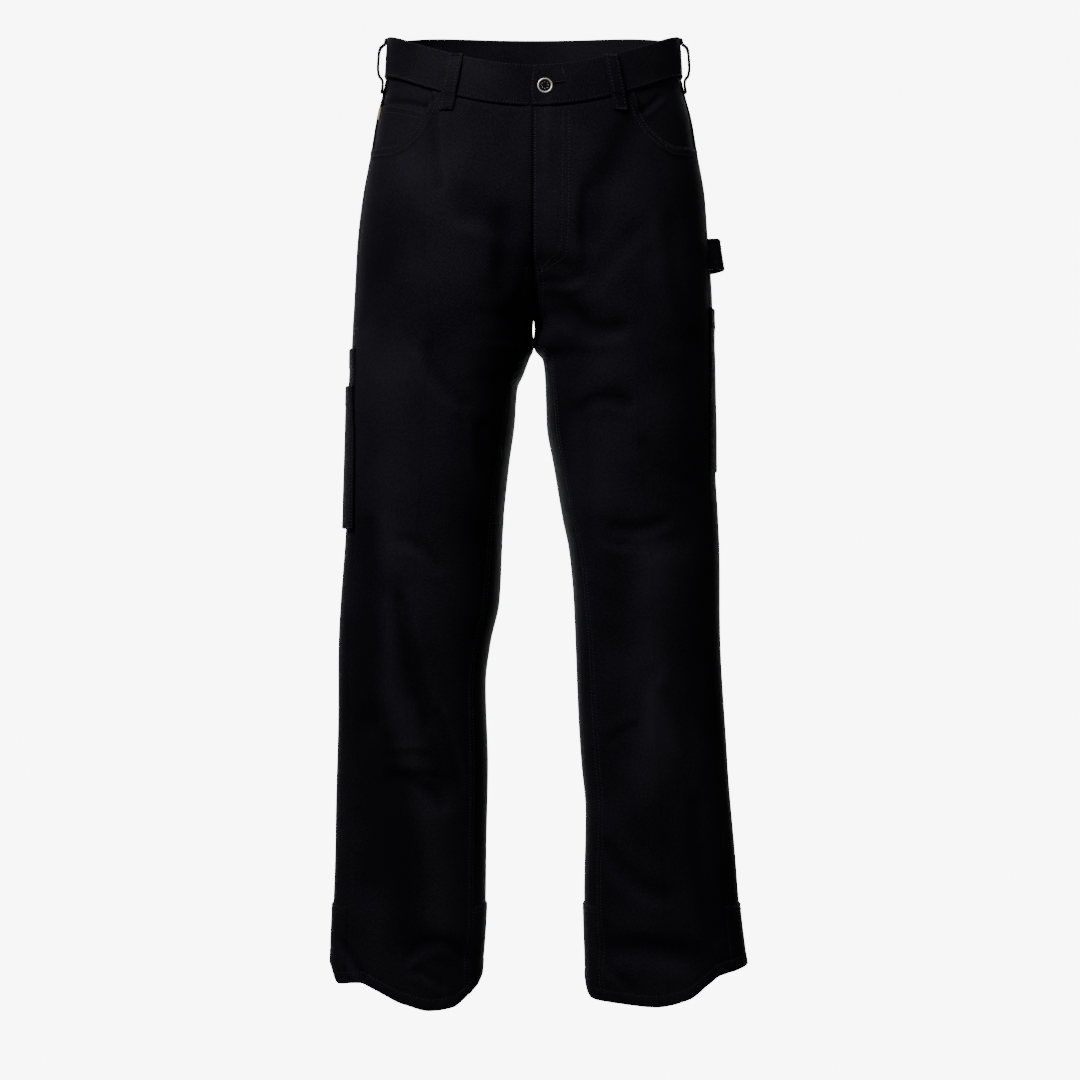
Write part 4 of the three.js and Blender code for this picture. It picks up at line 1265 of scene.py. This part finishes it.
def make_facing(side):
    """The cloth inside a scoop pocket, which runs on under the front and the waistband."""
    share = np.linspace(SCOOP_START - 0.08, 1, 46)
    z = np.array([np.linspace(waist_seam("front", s) + TUCK, YOKE_ROW, 44) for s in share]).T
    points, outs = cloth(side, z, front_turn(side, z, share[None]))
    height = np.full(z.shape, -1.9)
    if side == RIGHT:
        near = 1 - np.clip((share - SCOOP_START) / (1 - SCOOP_START), 0, 1)
        wide = 2.2 + 3 * near
        height = -3 - (1.5 + 3.5 * near) * np.exp(-(((z - coin_top(share) - wide) / wide) ** 2))
    grid = Grid(points, outs).raised(height)
    name = "scoop_facing_" + WORDS[side]
    made[name] = grid
    shell(name, [grid], [wall_of(grid, False)], canvas_material())


def coin_top(share):
    """The height of the coin pocket's top edge."""
    run = np.clip((share - SCOOP_START) / (1 - SCOOP_START), 0, 1)
    return mix(COIN_TOP_SIDE, COIN_TOP_FRONT, (1 - run) ** 2.2)


def make_coin_pocket():
    """The coin pocket, whose mouth gapes a little."""
    share = np.linspace(SCOOP_START + 0.02, 0.996, 30)
    down = close_steps(60, 4, [0, 0.5, 1.2, 2.4, 5]) / 60
    z = mix(coin_top(share)[None], YOKE_ROW, down[:, None])
    points, outs = cloth(RIGHT, z, front_turn(RIGHT, z, share[None]))
    grid = Grid(points, outs)
    top = grid.from_edge("top")
    gape = 2.1 * np.exp(-top / 7) * np.sin(np.pi * np.linspace(0, 1, len(share))) ** 0.7
    grid = grid.raised(gape - 1.75 - 0.5 * ease((1.2 - top) / 1.2))
    made["coin_pocket"] = grid
    shell("coin_pocket", [grid], [np.full(z.shape, COIN_WALL)], canvas_material())


def make_side_tab():
    """The woven tab: caught under the back panel's edge, then bent out and down to the pocket."""
    z = np.linspace(TAB_TOP, TAB_FOOT, 11)[:, None]
    seam, out = cloth(RIGHT, z, outseam(z))
    ahead, ahead_out = cloth(RIGHT, z, front_turn(RIGHT, z, 0.85))
    behind, _ = cloth(RIGHT, z, outseam(z) + 3)
    forward, back = unit(ahead - seam), unit(behind - seam)
    points, outs = [], []
    for across, lift in zip(TAB_SHAPE["across"], TAB_SHAPE["lift"]):
        along = forward * across if across > 0 else back * -across
        turned = unit(mix(out, ahead_out, max(0, across) / 40))
        points.append(seam + along + turned * lift)
        outs.append(turned)
    grid = Grid(np.concatenate(points, 1), np.concatenate(outs, 1))
    made["side_tab"] = grid
    wall = np.full(grid.down.shape, TAB_WALL)
    shell("side_tab", [grid], [wall], tab_material(), "woven_tab")


def make_patch(name):
    """A patch pocket on a back panel, with turned edges, a deep top hem and a slack mouth."""
    side, first, last, top, corner, point, layer = PATCHES[name]
    back = surfaces["back_" + WORDS[side]]
    width = close_steps(100, 3.6, [0, 0.5, 1.2, 2.4, 5, 8]) / 100
    share = mix(first, last, width)
    foot = mix(point, corner, np.abs(2 * width - 1))
    tall = close_steps(100, 3, [0, 0.4, 1, 2, 4, 6]) / 100
    z = mix(top, foot[None], tall[:, None])
    points, outs = cloth(side, z, back_turn(side, z, share[None]))
    for i in np.ndindex(z.shape):
        hit, normal, _, _ = back.find_nearest(Vector(points[i]))
        points[i] = hit
        outs[i] = normal
    grid = Grid(points, unit(outs))
    edges = np.minimum(grid.from_edge("left"), grid.from_edge("right"))
    edges = np.minimum(edges, grid.from_edge("foot"))
    round_edge = -0.75 * ease((1.4 - edges) / 1.4)
    pucker = 0.2 * wave(grid.down + grid.across, 1.7) * np.exp(-((edges - 4) ** 2) / 14)
    mouth = 0.9 * np.exp(-grid.down / 14) * np.sin(np.pi * width)[None] ** 0.8
    hem = 0.5 * ease((22 - grid.down) / 2.2) - 0.6 * ease((1.1 - grid.down) / 1.1)
    slack = 0.8 * np.sin(np.pi * width)[None] * np.sin(np.pi * tall)[:, None]
    height = 1.75 + round_edge + pucker + mouth + hem + slack + layer * 2.6
    grid = grid.raised(height)
    made[name] = grid
    shell(name, [grid], [np.full(z.shape, PATCH_WALL)], canvas_material())


def make_belt_loop(name):
    """A belt loop: a strap folded in three, caught at its top and foot, with room for a belt."""
    side, part, share, lean, room = BELT_LOOPS[name]
    top = waist_top(waist_turn(part, share))
    turn_at = front_turn if part == "front" else back_turn
    sign = 1 if part == "front" else -1
    tall = sizes().band_height / MM
    down = np.concatenate([[0.6, 1, 1.6], np.linspace(2.4, 59.6, 37), [60.4, 60.8, 61.2]])
    wide = sizes().loop_width / MM
    edge = np.array([-1, -0.96, -0.88, -0.7, -0.45, -0.2, 0, 0.2, 0.45, 0.7, 0.88, 0.96, 1]) / 2
    z = (top - down)[:, None] + 0 * edge[None]
    centre = turn_at(side, z, np.full(z.shape, float(share)))
    centre = centre + sign * lean * (down[:, None] - tall / 2) / tall
    step = np.linalg.norm(bare(side, z, centre + 0.5) - bare(side, z, centre - 0.5), axis=-1)
    if share == 1:
        points, outs = cloth(side, z[:, :1], centre[:, :1])
        points = np.repeat(points, len(edge), 1)
        points[..., 0] = edge[None] * wide
        outs = np.zeros(points.shape)
        outs[..., 1] = 1
    else:
        points, outs = cloth(side, z, centre + edge[None] * wide / step)
    rise = read(LOOP_SHAPE, "share", down, "down")
    low = np.where(down > tall, 0.9, BAND_PROUD + 0.5)
    ends = -0.5 * ease((1.4 - np.minimum(down - down[0], down[-1] - down)) / 1.4)
    pinch = -0.45 * (2 * np.abs(edge)) ** 8
    fold = 0.22 * np.exp(-(((np.abs(edge) * wide - 4.9) / 0.9) ** 2))
    height = (low + room * rise + ends)[:, None] + (pinch - fold)[None] + 1.7
    grid = Grid(points, outs).raised(height)
    made[name] = grid
    shell(name, [grid], [np.full(z.shape, LOOP_WALL)], canvas_material())


def make_hammer_loop():
    """The hammer loop: a wide doubled strap that stands off between its two sewn ends."""
    along = close_steps(100, 1.8, [0, 0.8, 2, 3.4, 5, 7, 9]) / 100
    off = np.interp(along, HAMMER_SHAPE["along"], HAMMER_SHAPE["off"])
    off = np.convolve(np.pad(off, 2, mode="edge"), [0.1, 0.2, 0.4, 0.2, 0.1], mode="valid")
    tall = close_steps(HAMMER["top"] - HAMMER["bottom"], 3.4, [0, 0.5, 1.2, 2.4, 4])
    z = (HAMMER["top"] - tall)[:, None] + 0 * along[None]
    turn = mix(outseam(z) + 0.3, HAMMER["rear"], along[None])
    points, outs = cloth(LEFT, z, turn)
    sway = 1 + HAMMER["flare"] * (tall / tall[-1])[:, None]
    points = points + outs * (1.1 + off[None] * sway)[..., None]
    down = np.gradient(points, axis=0)
    around = np.gradient(points, axis=1)
    out = unit(np.cross(around, down))
    out = out * np.sign((out * outs).sum(-1).mean())
    grid = Grid(points, out)
    edges = np.minimum(grid.from_edge("top"), grid.from_edge("foot"))
    pucker = 0.12 * wave(grid.across, 0.4) * np.exp(-edges / 8)
    grid = grid.raised(1.6 - 0.6 * ease((1.4 - edges) / 1.4) + pucker)
    made["hammer_loop"] = grid
    wall = np.full(z.shape, HAMMER_WALL)
    shell("hammer_loop", [grid], [wall], canvas_material())


def button_seat():
    """Where the button stands on the waistband, with the way out there."""
    at, _ = cloth(LEFT, BUTTON_Z, BUTTON_TURN)
    hit, normal, _, _ = surfaces["waistband"].find_nearest(Vector(at))
    return np.array(hit), unit(np.array(normal))


def make_button():
    """The shank button: a rolled rim round a fluted dish with a plain raised middle."""
    seat, out = button_seat()
    radius, tall, spokes = BUTTON["radius"], BUTTON["height"], BUTTON["spokes"]
    shares = np.linspace(0, 1, BUTTON["rings"])
    steps = np.linspace(0, 1, len(BUTTON_PROFILE["radius"]))
    reach = np.interp(shares, steps, BUTTON_PROFILE["radius"])
    rise = np.interp(shares, steps, BUTTON_PROFILE["height"])
    across = unit(np.cross([0, 0, 1], out))
    up = np.cross(out, across)
    angles = np.arange(spokes) * 2 * math.pi / spokes
    points, heights = [], []
    for r, h in zip(reach, rise):
        for a in angles:
            dish = math.sin(math.pi * min(1, max(0, (r - 0.12) / 0.56)))
            wave_round = math.cos(BUTTON["flutes"] * a) * dish
            flute = BUTTON["flute"] * wave_round if h > 0.3 else 0
            spot = across * math.cos(a) + up * math.sin(a)
            points.append(seat + spot * (radius * r) + out * (0.5 + tall * (h + flute)))
            heights.append(h + flute)
    faces = []
    for i in range(len(shares) - 1):
        for j in range(spokes):
            k = (j + 1) % spokes
            a, b = i * spokes + j, i * spokes + k
            faces.append((a, b, b + spokes, a + spokes))
    mesh = bpy.data.meshes.new("button")
    mesh.from_pydata((np.array(points) * MM).tolist(), [], faces)
    layer = mesh.attributes.new("height", "FLOAT", "POINT")
    layer.data.foreach_set("value", heights)
    weld(mesh)
    piece = finished("button", mesh, metal_material(), "button_metal")
    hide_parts("button")


def weld(mesh):
    """Merges doubles and turns faces outwards."""
    work = bmesh.new()
    work.from_mesh(mesh)
    bmesh.ops.remove_doubles(work, verts=work.verts, dist=0.01 * MM)
    bmesh.ops.recalc_face_normals(work, faces=work.faces)
    work.to_mesh(mesh)
    work.free()


def settled(points, surface, lift=0.12):
    """Lays points on a surface."""
    found = []
    for point in points:
        hit, normal, _, _ = surfaces[surface].find_nearest(Vector(point))
        found.append(np.array(hit) + unit(np.array(normal)) * lift)
    return np.array(found)


def stitch_rows():
    """Every row of stitching, as a line of points on the piece that it holds."""
    rows = []
    for side in (LEFT, RIGHT):
        word = WORDS[side]
        front, back = made["front_" + word], made["back_" + word]
        wrap = made["back_" + word + "_wrap"]
        for inset in SEAM_ROWS:
            inner = front.row_beside("left", inset, -1024, TIP_FRONT - 2)
            rows.append((inner, "front_" + word))
            rows.append((back.row_beside("right", inset, GUSSET_END - 7, TIP_BACK), "back_" + word))
        for grid, name in ((front, "front_"), (back, "back_"), (wrap, "back_")):
            rows.append((grid.row_beside("foot", HEM_BAND), name + word))
        kick = "kick_panel_" + word
        for grid, first in ((made[kick], 9), (made[kick + "_wrap"], 0)):
            for inset in STRAP_ROWS:
                rows.append((grid.row_beside("top", inset)[first:], kick))
            rows.append((grid.row_beside("foot", HEM_BAND), kick))
        rows.append((wrap.row_beside("top", GUSSET_ROW), "back_" + word))
        rows += [(line, "front_" + word) for line in scoop_rows(side)]
    seat = made["back_left"]
    rows.append((seat.row_beside("right", SEAM_ROWS[0], TIP_BACK + 1, -12), "back_left"))
    fly = made["front_left"].row_beside("left", FLY_EDGE_ROW, TIP_FRONT + 2, -74)
    rows.append((fly, "front_left"))
    rows.append((seat.row_beside("right", SEAM_ROWS[1], TIP_BACK + 1, -12), "back_left"))
    rows += [(line, "front_left") for line in fly_rows()]
    band = made["waistband"]
    for edge, inset in BAND_ROWS:
        line = band.row_beside(edge, inset)
        rows.append((line[7:], "waistband"))
        rows.append((line[10:-12], "waistband_inside"))
    rows.append((band.row_beside("right", BAND_END_ROW)[3:-3], "waistband"))
    rows += pocket_rows()
    return rows


def scoop_rows(side):
    """The two rows that follow the mouth of a scoop pocket."""
    grid = made["front_" + WORDS[side]]
    first = int(np.argmax(grid.across[0] / grid.across[0, -1] > SCOOP_START + 0.004))
    line, outs = grid.points[0, first:], grid.outs[0, first:]
    seam = waist_seam("front", SCOOP_START)
    rows = []
    for inset in SCOOP_ROWS:
        ahead = unit(np.gradient(line, axis=0))
        inward = unit(np.cross(outs, ahead)) * -side
        path = line + inward * inset
        path = path[path[:, 2] < seam - 1]
        start = path[0] + unit(path[0] - path[1]) * max(0, seam - path[0, 2])
        rows.append(np.concatenate([start[None], path]))
    return rows


def fly_point(inset, z):
    """A point on the left front, by its inset from the fly's edge."""
    grid = made["front_left"]
    i = int(np.argmin(np.abs(grid.points[:, 0, 2] - z)))
    point = [np.interp(inset, grid.across[i], grid.points[i, :, k]) for k in range(3)]
    point[2] = z
    return point


def fly_rows():
    """The double row of the fly: straight down, a tight corner, then a slant to the front edge."""
    rows = []
    for corner, end in FLY_ROWS:
        corner, end = np.array(corner), np.array(end)
        start = corner + [0, 7]
        leave = corner + unit(end - corner) * 7
        share = np.linspace(0, 1, 12)[:, None]
        bend = mix(mix(start, corner, share), mix(corner, leave, share), share)
        line = [(corner[0], z) for z in np.linspace(-76, start[1], 40)]
        line += list(bend[1:-1]) + list(mix(leave, end, np.linspace(0, 1, 16)[:, None]))
        rows.append(np.array([fly_point(a, b) for a, b in line]))
    return rows


def pocket_rows():
    """The rows on the patches, the coin pocket and the loops."""
    rows = []
    for name in PATCHES:
        grid = made[name]
        for inset in PATCH_ROWS:
            for edge in ("left", "right", "foot"):
                line = grid.row_beside(edge, inset)
                trim = 2 if inset < 2 else 5
                rows.append((line[trim:-trim], name))
        rows.append((grid.row_beside("top", PATCH_HEM_ROW)[4:-4], name))
    for inset in COIN_ROWS:
        rows.append((made["coin_pocket"].row_beside("top", inset), "coin_pocket"))
    for name in BELT_LOOPS:
        grid = made[name]
        for edge in ("left", "right"):
            rows.append((grid.row_beside(edge, LOOP_ROW)[2:-2], name))
    hammer = made["hammer_loop"]
    for edge in ("top", "foot"):
        for inset in STRAP_ROWS:
            rows.append((hammer.row_beside(edge, inset)[3:-3], "hammer_loop"))
    return rows


def bartacks():
    """Centres of the bartacks with the way that they run, their length and the piece below."""
    tacks = []
    upright = np.array([0, 0, 1.0])
    for name in BELT_LOOPS:
        grid = made[name]
        middle = grid.points.shape[1] // 2
        for row in (3, -4):
            along = grid.points[row, -2] - grid.points[row, 1]
            tacks.append((grid.points[row, middle], along, 13, name))
    for side in (LEFT, RIGHT):
        word = WORDS[side]
        mouth = scoop_rows(side)[0]
        tacks.append((mouth[1], mouth[3] - mouth[0], 9, "front_" + word))
        tacks.append((mouth[-3], upright, 9, "front_" + word))
    for name in PATCHES:
        grid = made[name]
        for column in (3, -4):
            tacks.append((grid.points[4, column], upright, 9, name))
    tacks.append((np.array(fly_point(5.6, -241)), np.array([1, 0, -0.2]), 7, "front_left"))
    tacks.append((np.array(fly_point(30.5, -221)), np.array([-0.3, 0, 1]), 5, "front_left"))
    hammer = made["hammer_loop"]
    for column in (4, -5):
        for row in (4, -5):
            tacks.append((hammer.points[row, column], upright, 7, "hammer_loop"))
    return tacks


def zigzag(centre, along, length, surface, width=1.9, step=0.42):
    """A zigzag of thread, settled on a piece."""
    hit, normal, _, _ = surfaces[surface].find_nearest(Vector(centre))
    out = unit(np.array(normal))
    along = unit(along - out * (along @ out))
    side = np.cross(out, along)
    count = int(length / step)
    points = []
    for i in range(count):
        place = (i / (count - 1) - 0.5) * length
        points.append(np.array(hit) + along * place + side * (width / 2) * (-1) ** i)
    return settled(points, surface, 0.3)


def buttonhole():
    """The buttonhole's satin edge, as one zigzag round its slot."""
    turns = 170
    middle = (SLOT["start"] + SLOT["end"]) / 2
    half = (SLOT["end"] - SLOT["start"]) / 2 + 0.6
    points = []
    for i in range(turns):
        a = 2 * math.pi * i / turns
        x = middle + half * math.cos(a)
        wide = 1.1 if i % 2 else 2.2
        y = wide * math.copysign(abs(math.sin(a)) ** 0.35, math.sin(a))
        share = x / SHARE_SPAN
        z = float(waist_top(waist_turn("front", share))) - SLOT["down"] + y
        points.append(over((x, -130, z), "waistband"))
    return settled(points, "waistband", 0.35)


def loose_ends():
    """Two short ends of thread that lie loose on the cloth."""
    ends = []
    for name, x1, z1, x2, z2, bend in LOOSE_ENDS:
        share = np.linspace(0, 1, 9)
        line = np.stack([mix(x1, x2, share), 0 * share - 130, mix(z1, z2, share)], -1)
        line[:, 0] += bend * np.sin(np.pi * share)
        ends.append(settled([over(point, name) for point in line], name, 0.35))
    return ends


def over(point, surface):
    """The place on a surface behind a point, seen from the front."""
    hit, _, _, _ = surfaces[surface].ray_cast(Vector(point), Vector((0, 1, 0)))
    return hit


def sewing_tree(name, build):
    """A geometry tree with the inputs that every kind of sewing has."""
    tree = bpy.data.node_groups.new(name, "GeometryNodeTree")
    tree.interface.new_socket("Lines", in_out="INPUT", socket_type="NodeSocketGeometry")
    for label in ("Pitch", "Thread radius"):
        tree.interface.new_socket(label, in_out="INPUT", socket_type="NodeSocketFloat")
    tree.interface.new_socket("Thread", in_out="INPUT", socket_type="NodeSocketMaterial")
    tree.interface.new_socket("Sewing", in_out="OUTPUT", socket_type="NodeSocketGeometry")
    given = add(tree, "NodeGroupInput").outputs
    curve = add(tree, "GeometryNodeMeshToCurve", {"Mesh": given["Lines"]}).outputs["Curve"]
    shape = build(tree, given, curve)
    real = add(tree, "GeometryNodeRealizeInstances", {"Geometry": shape})
    real = real.outputs["Geometry"]
    thread = {"Geometry": real, "Material": given["Thread"]}
    coloured = add(tree, "GeometryNodeSetMaterial", thread).outputs["Geometry"]
    add(tree, "NodeGroupOutput", {"Sewing": coloured})
    return tree


def stitches_on(tree, given, curve):
    """One small spindle of thread for each stitch, along the line."""
    even = {"Curve": curve, "Length": given["Pitch"]}
    spots = add(tree, "GeometryNodeResampleCurve", even, mode="LENGTH").outputs["Curve"]
    ahead = add(tree, "GeometryNodeInputTangent").outputs["Tangent"]
    turned = add(tree, "FunctionNodeAlignRotationToVector", {"Vector": ahead}, axis="X")
    ball = {"Segments": 6, "Rings": 4, "Radius": 1.0}
    spindle = add(tree, "GeometryNodeMeshUVSphere", ball).outputs["Mesh"]
    half = add(tree, "ShaderNodeMath", {0: given["Pitch"], 1: STITCH_HALF}, operation="MULTIPLY")
    radius = given["Thread radius"]
    long = {"X": half.outputs["Value"], "Y": radius, "Z": radius}
    size = add(tree, "ShaderNodeCombineXYZ", long).outputs["Vector"]
    placed = {
        "Points": spots,
        "Instance": spindle,
        "Rotation": turned.outputs["Rotation"],
        "Scale": size,
    }
    return add(tree, "GeometryNodeInstanceOnPoints", placed).outputs["Instances"]


def thread_along(tree, given, curve):
    """A round thread that follows the line."""
    ring = {"Resolution": 6, "Radius": given["Thread radius"]}
    profile = add(tree, "GeometryNodeCurvePrimitiveCircle", ring).outputs["Curve"]
    swept = {"Curve": curve, "Profile Curve": profile, "Fill Caps": True}
    return add(tree, "GeometryNodeCurveToMesh", swept).outputs["Mesh"]


def sew(name, lines, tree, pitch, radius):
    """Sews along lines with a geometry tree, and keeps the result as a plain mesh."""
    points, edges = [], []
    for line in lines:
        start = len(points)
        points += (line * MM).tolist()
        edges += [(start + i, start + i + 1) for i in range(len(line) - 1)]
    mesh = bpy.data.meshes.new(name + "_lines")
    mesh.from_pydata(points, edges, [])
    guide = bpy.data.objects.new(name + "_lines", mesh)
    bpy.context.collection.objects.link(guide)
    modifier = guide.modifiers.new("sewing", "NODES")
    modifier.node_group = tree
    values = {"Pitch": pitch, "Thread radius": radius, "Thread": thread_material()}
    for item in tree.interface.items_tree:
        if item.name in values:
            modifier[item.identifier] = values[item.name]
    bpy.context.view_layer.update()
    ready = guide.evaluated_get(bpy.context.evaluated_depsgraph_get())
    sewn = bpy.data.meshes.new_from_object(ready)
    bpy.data.objects.remove(guide)
    finished(name, sewn, thread_material(), "canvas")


class TrouserSizes(bpy.types.PropertyGroup):
    """Sizes of the cloth and the sewing."""

    cloth: bpy.props.FloatProperty(
        name="Cloth", description="Thickness of the canvas", default=0.0011, unit="LENGTH"
    )
    band_height: bpy.props.FloatProperty(
        name="Waistband height", description="Height of the waistband", default=0.044, unit="LENGTH"
    )
    loop_width: bpy.props.FloatProperty(
        name="Belt loop width", description="Width of a belt loop", default=0.016, unit="LENGTH"
    )
    stitch: bpy.props.FloatProperty(
        name="Stitch", description="Length of a stitch", default=0.0036, unit="LENGTH"
    )
    thread: bpy.props.FloatProperty(
        name="Thread", description="Radius of the thread", default=0.00042, unit="LENGTH"
    )


class TrouserColours(bpy.types.PropertyGroup):
    """Colours of the cloth, the thread and the trims."""

    canvas: bpy.props.FloatVectorProperty(
        name="Canvas", description="The dye of the canvas", subtype="COLOR", default=linear("#060508")
    )
    # The paler colour is worn dye and also the painted highlight on fold ridges
    canvas_worn_and_ridge_highlight: bpy.props.FloatVectorProperty(
        name="Worn canvas", description="Where the dye is rubbed", subtype="COLOR", default=linear("#111014")
    )
    thread: bpy.props.FloatVectorProperty(
        name="Thread", description="The sewing thread", subtype="COLOR", default=linear("#18171c")
    )
    metal: bpy.props.FloatVectorProperty(
        name="Metal", description="The button's rubbed rim", subtype="COLOR", default=linear("#8b867e")
    )
    tab: bpy.props.FloatVectorProperty(
        name="Tab", description="The weft of the side tab", subtype="COLOR", default=linear("#6d5a33")
    )


class TROUSERS_OT_fronts(bpy.types.Operator):
    """Make the two front panels with their scooped pocket mouths"""

    bl_idname = "trousers.fronts"
    bl_label = "Front panels"

    def execute(self, context):
        for side in (LEFT, RIGHT):
            make_front(side)
        return {"FINISHED"}


class TROUSERS_OT_backs(bpy.types.Operator):
    """Make the two back panels, which wrap to the inseam under the gusset"""

    bl_idname = "trousers.backs"
    bl_label = "Back panels"

    def execute(self, context):
        for side in (LEFT, RIGHT):
            make_back(side)
        return {"FINISHED"}


class TROUSERS_OT_gusset(bpy.types.Operator):
    """Make the gusset that crosses under the crotch"""

    bl_idname = "trousers.gusset"
    bl_label = "Crotch gusset"

    def execute(self, context):
        make_gusset()
        return {"FINISHED"}


class TROUSERS_OT_waistband(bpy.types.Operator):
    """Make the waistband, whose left end laps over its right end"""

    bl_idname = "trousers.waistband"
    bl_label = "Waistband"

    def execute(self, context):
        make_waistband()
        return {"FINISHED"}


class TROUSERS_OT_kick_panels(bpy.types.Operator):
    """Make the patches that guard the back of the hems"""

    bl_idname = "trousers.kick_panels"
    bl_label = "Kick panels"

    def execute(self, context):
        make_kick_panels()
        return {"FINISHED"}


class TROUSERS_OT_scoop_pockets(bpy.types.Operator):
    """Make what shows inside the scoop pockets: facings, coin pocket and side tab"""

    bl_idname = "trousers.scoop_pockets"
    bl_label = "Scoop pockets"

    def execute(self, context):
        for side in (LEFT, RIGHT):
            make_facing(side)
        make_coin_pocket()
        make_side_tab()
        return {"FINISHED"}


class TROUSERS_OT_patch_pockets(bpy.types.Operator):
    """Make the seat, phone and tool pockets on the back panels"""

    bl_idname = "trousers.patch_pockets"
    bl_label = "Patch pockets"

    def execute(self, context):
        for name in PATCHES:
            make_patch(name)
        return {"FINISHED"}


class TROUSERS_OT_loops(bpy.types.Operator):
    """Make the belt loops and the hammer loop"""

    bl_idname = "trousers.loops"
    bl_label = "Loops"

    def execute(self, context):
        for name in BELT_LOOPS:
            make_belt_loop(name)
        make_hammer_loop()
        return {"FINISHED"}


class TROUSERS_OT_button(bpy.types.Operator):
    """Make the shank button at the waist"""

    bl_idname = "trousers.button"
    bl_label = "Button"

    def execute(self, context):
        make_button()
        return {"FINISHED"}


class TROUSERS_OT_sewing(bpy.types.Operator):
    """Sew the rows of stitching, the bartacks and the buttonhole"""

    bl_idname = "trousers.sewing"
    bl_label = "Sewing"

    def execute(self, context):
        stitching = sewing_tree("stitches", stitches_on)
        threads = sewing_tree("threads", thread_along)
        lines = [settled(line, name) for line, name in stitch_rows() if len(line) > 2]
        sew("stitching", lines, stitching, sizes().stitch, sizes().thread)
        tacks = [zigzag(*tack) for tack in bartacks()] + [buttonhole()] + loose_ends()
        sew("bartacks", tacks, threads, sizes().stitch, sizes().thread * 0.7)
        return {"FINISHED"}


class TROUSERS_OT_stage(bpy.types.Operator):
    """Make the pale studio sweep, the soft lights and the camera"""

    bl_idname = "trousers.stage"
    bl_label = "Stage"

    def execute(self, context):
        floor, radius, bend = SWEEP["floor"], SWEEP["radius"], SWEEP["bend"]
        bowl = [(0.02, floor), (2.5, floor), (radius, floor)]
        for angle in np.linspace(0, 90, 14)[1:]:
            turn = math.radians(angle)
            bowl.append((radius + bend * math.sin(turn), floor + bend * (1 - math.cos(turn))))
        bowl.append((radius + bend, SWEEP["top"]))
        spokes = SWEEP["spokes"]
        points, faces = [], []
        for away, z in bowl:
            for i in range(spokes):
                turn = 2 * math.pi * i / spokes
                points.append((away * math.cos(turn), away * math.sin(turn), z))
        for row in range(len(bowl) - 1):
            for i in range(spokes):
                a, b = row * spokes + i, row * spokes + (i + 1) % spokes
                faces.append((a, a + spokes, b + spokes, b))
        mesh = bpy.data.meshes.new("studio_sweep")
        mesh.from_pydata(points, [], faces)
        mesh.materials.append(stage_material())
        mesh.shade_smooth()
        sweep = bpy.data.objects.new("studio_sweep", mesh)
        context.collection.objects.link(sweep)
        world = bpy.data.worlds.new("studio")
        world.use_nodes = True
        world.node_tree.nodes["Background"].inputs["Color"].default_value = (1, 1, 1, 1)
        world.node_tree.nodes["Background"].inputs["Strength"].default_value = WORLD_LIGHT
        context.scene.world = world
        for name, place, size, power in LIGHTS:
            light = bpy.data.lights.new(name, "AREA")
            light.size = size
            light.energy = power
            lamp = bpy.data.objects.new(name, light)
            lamp.location = place
            aim = Vector(AIM) - Vector(place)
            lamp.rotation_euler = aim.to_track_quat("-Z", "Y").to_euler()
            context.collection.objects.link(lamp)
        lens = bpy.data.cameras.new("front")
        lens.sensor_width = CAMERA["sensor"]
        lens.lens = CAMERA["sensor"] * -CAMERA["place"][1] / CAMERA["width"]
        camera = bpy.data.objects.new("front", lens)
        camera.location = CAMERA["place"]
        camera.rotation_euler = (math.pi / 2, 0, 0)
        context.collection.objects.link(camera)
        context.scene.camera = camera
        return {"FINISHED"}


STEPS = (
    TROUSERS_OT_fronts,
    TROUSERS_OT_backs,
    TROUSERS_OT_gusset,
    TROUSERS_OT_waistband,
    TROUSERS_OT_kick_panels,
    TROUSERS_OT_scoop_pockets,
    TROUSERS_OT_patch_pockets,
    TROUSERS_OT_loops,
    TROUSERS_OT_button,
    TROUSERS_OT_sewing,
    TROUSERS_OT_stage,
)


class TROUSERS_PT_panel(bpy.types.Panel):
    """Sizes, colours and the steps that make the trousers"""

    bl_idname = "TROUSERS_PT_panel"
    bl_label = "Trousers"
    bl_space_type = "VIEW_3D"
    bl_region_type = "UI"
    bl_category = "Trousers"

    def draw(self, context):
        for group in (context.scene.trouser_sizes, context.scene.trouser_colours):
            for name in group.__annotations__:
                self.layout.prop(group, name)
        for step in STEPS:
            self.layout.operator(step.bl_idname)


CLASSES = (TrouserSizes, TrouserColours, *STEPS, TROUSERS_PT_panel)


def register():
    for item in CLASSES:
        bpy.utils.register_class(item)
    bpy.types.Scene.trouser_sizes = bpy.props.PointerProperty(type=TrouserSizes)
    bpy.types.Scene.trouser_colours = bpy.props.PointerProperty(type=TrouserColours)


def unregister():
    del bpy.types.Scene.trouser_colours
    del bpy.types.Scene.trouser_sizes
    for item in reversed(CLASSES):
        bpy.utils.unregister_class(item)


def main():
    register()
    for step in STEPS:
        group, name = step.bl_idname.split(".")
        getattr(getattr(bpy.ops, group), name)()


if __name__ == "__main__":
    main()
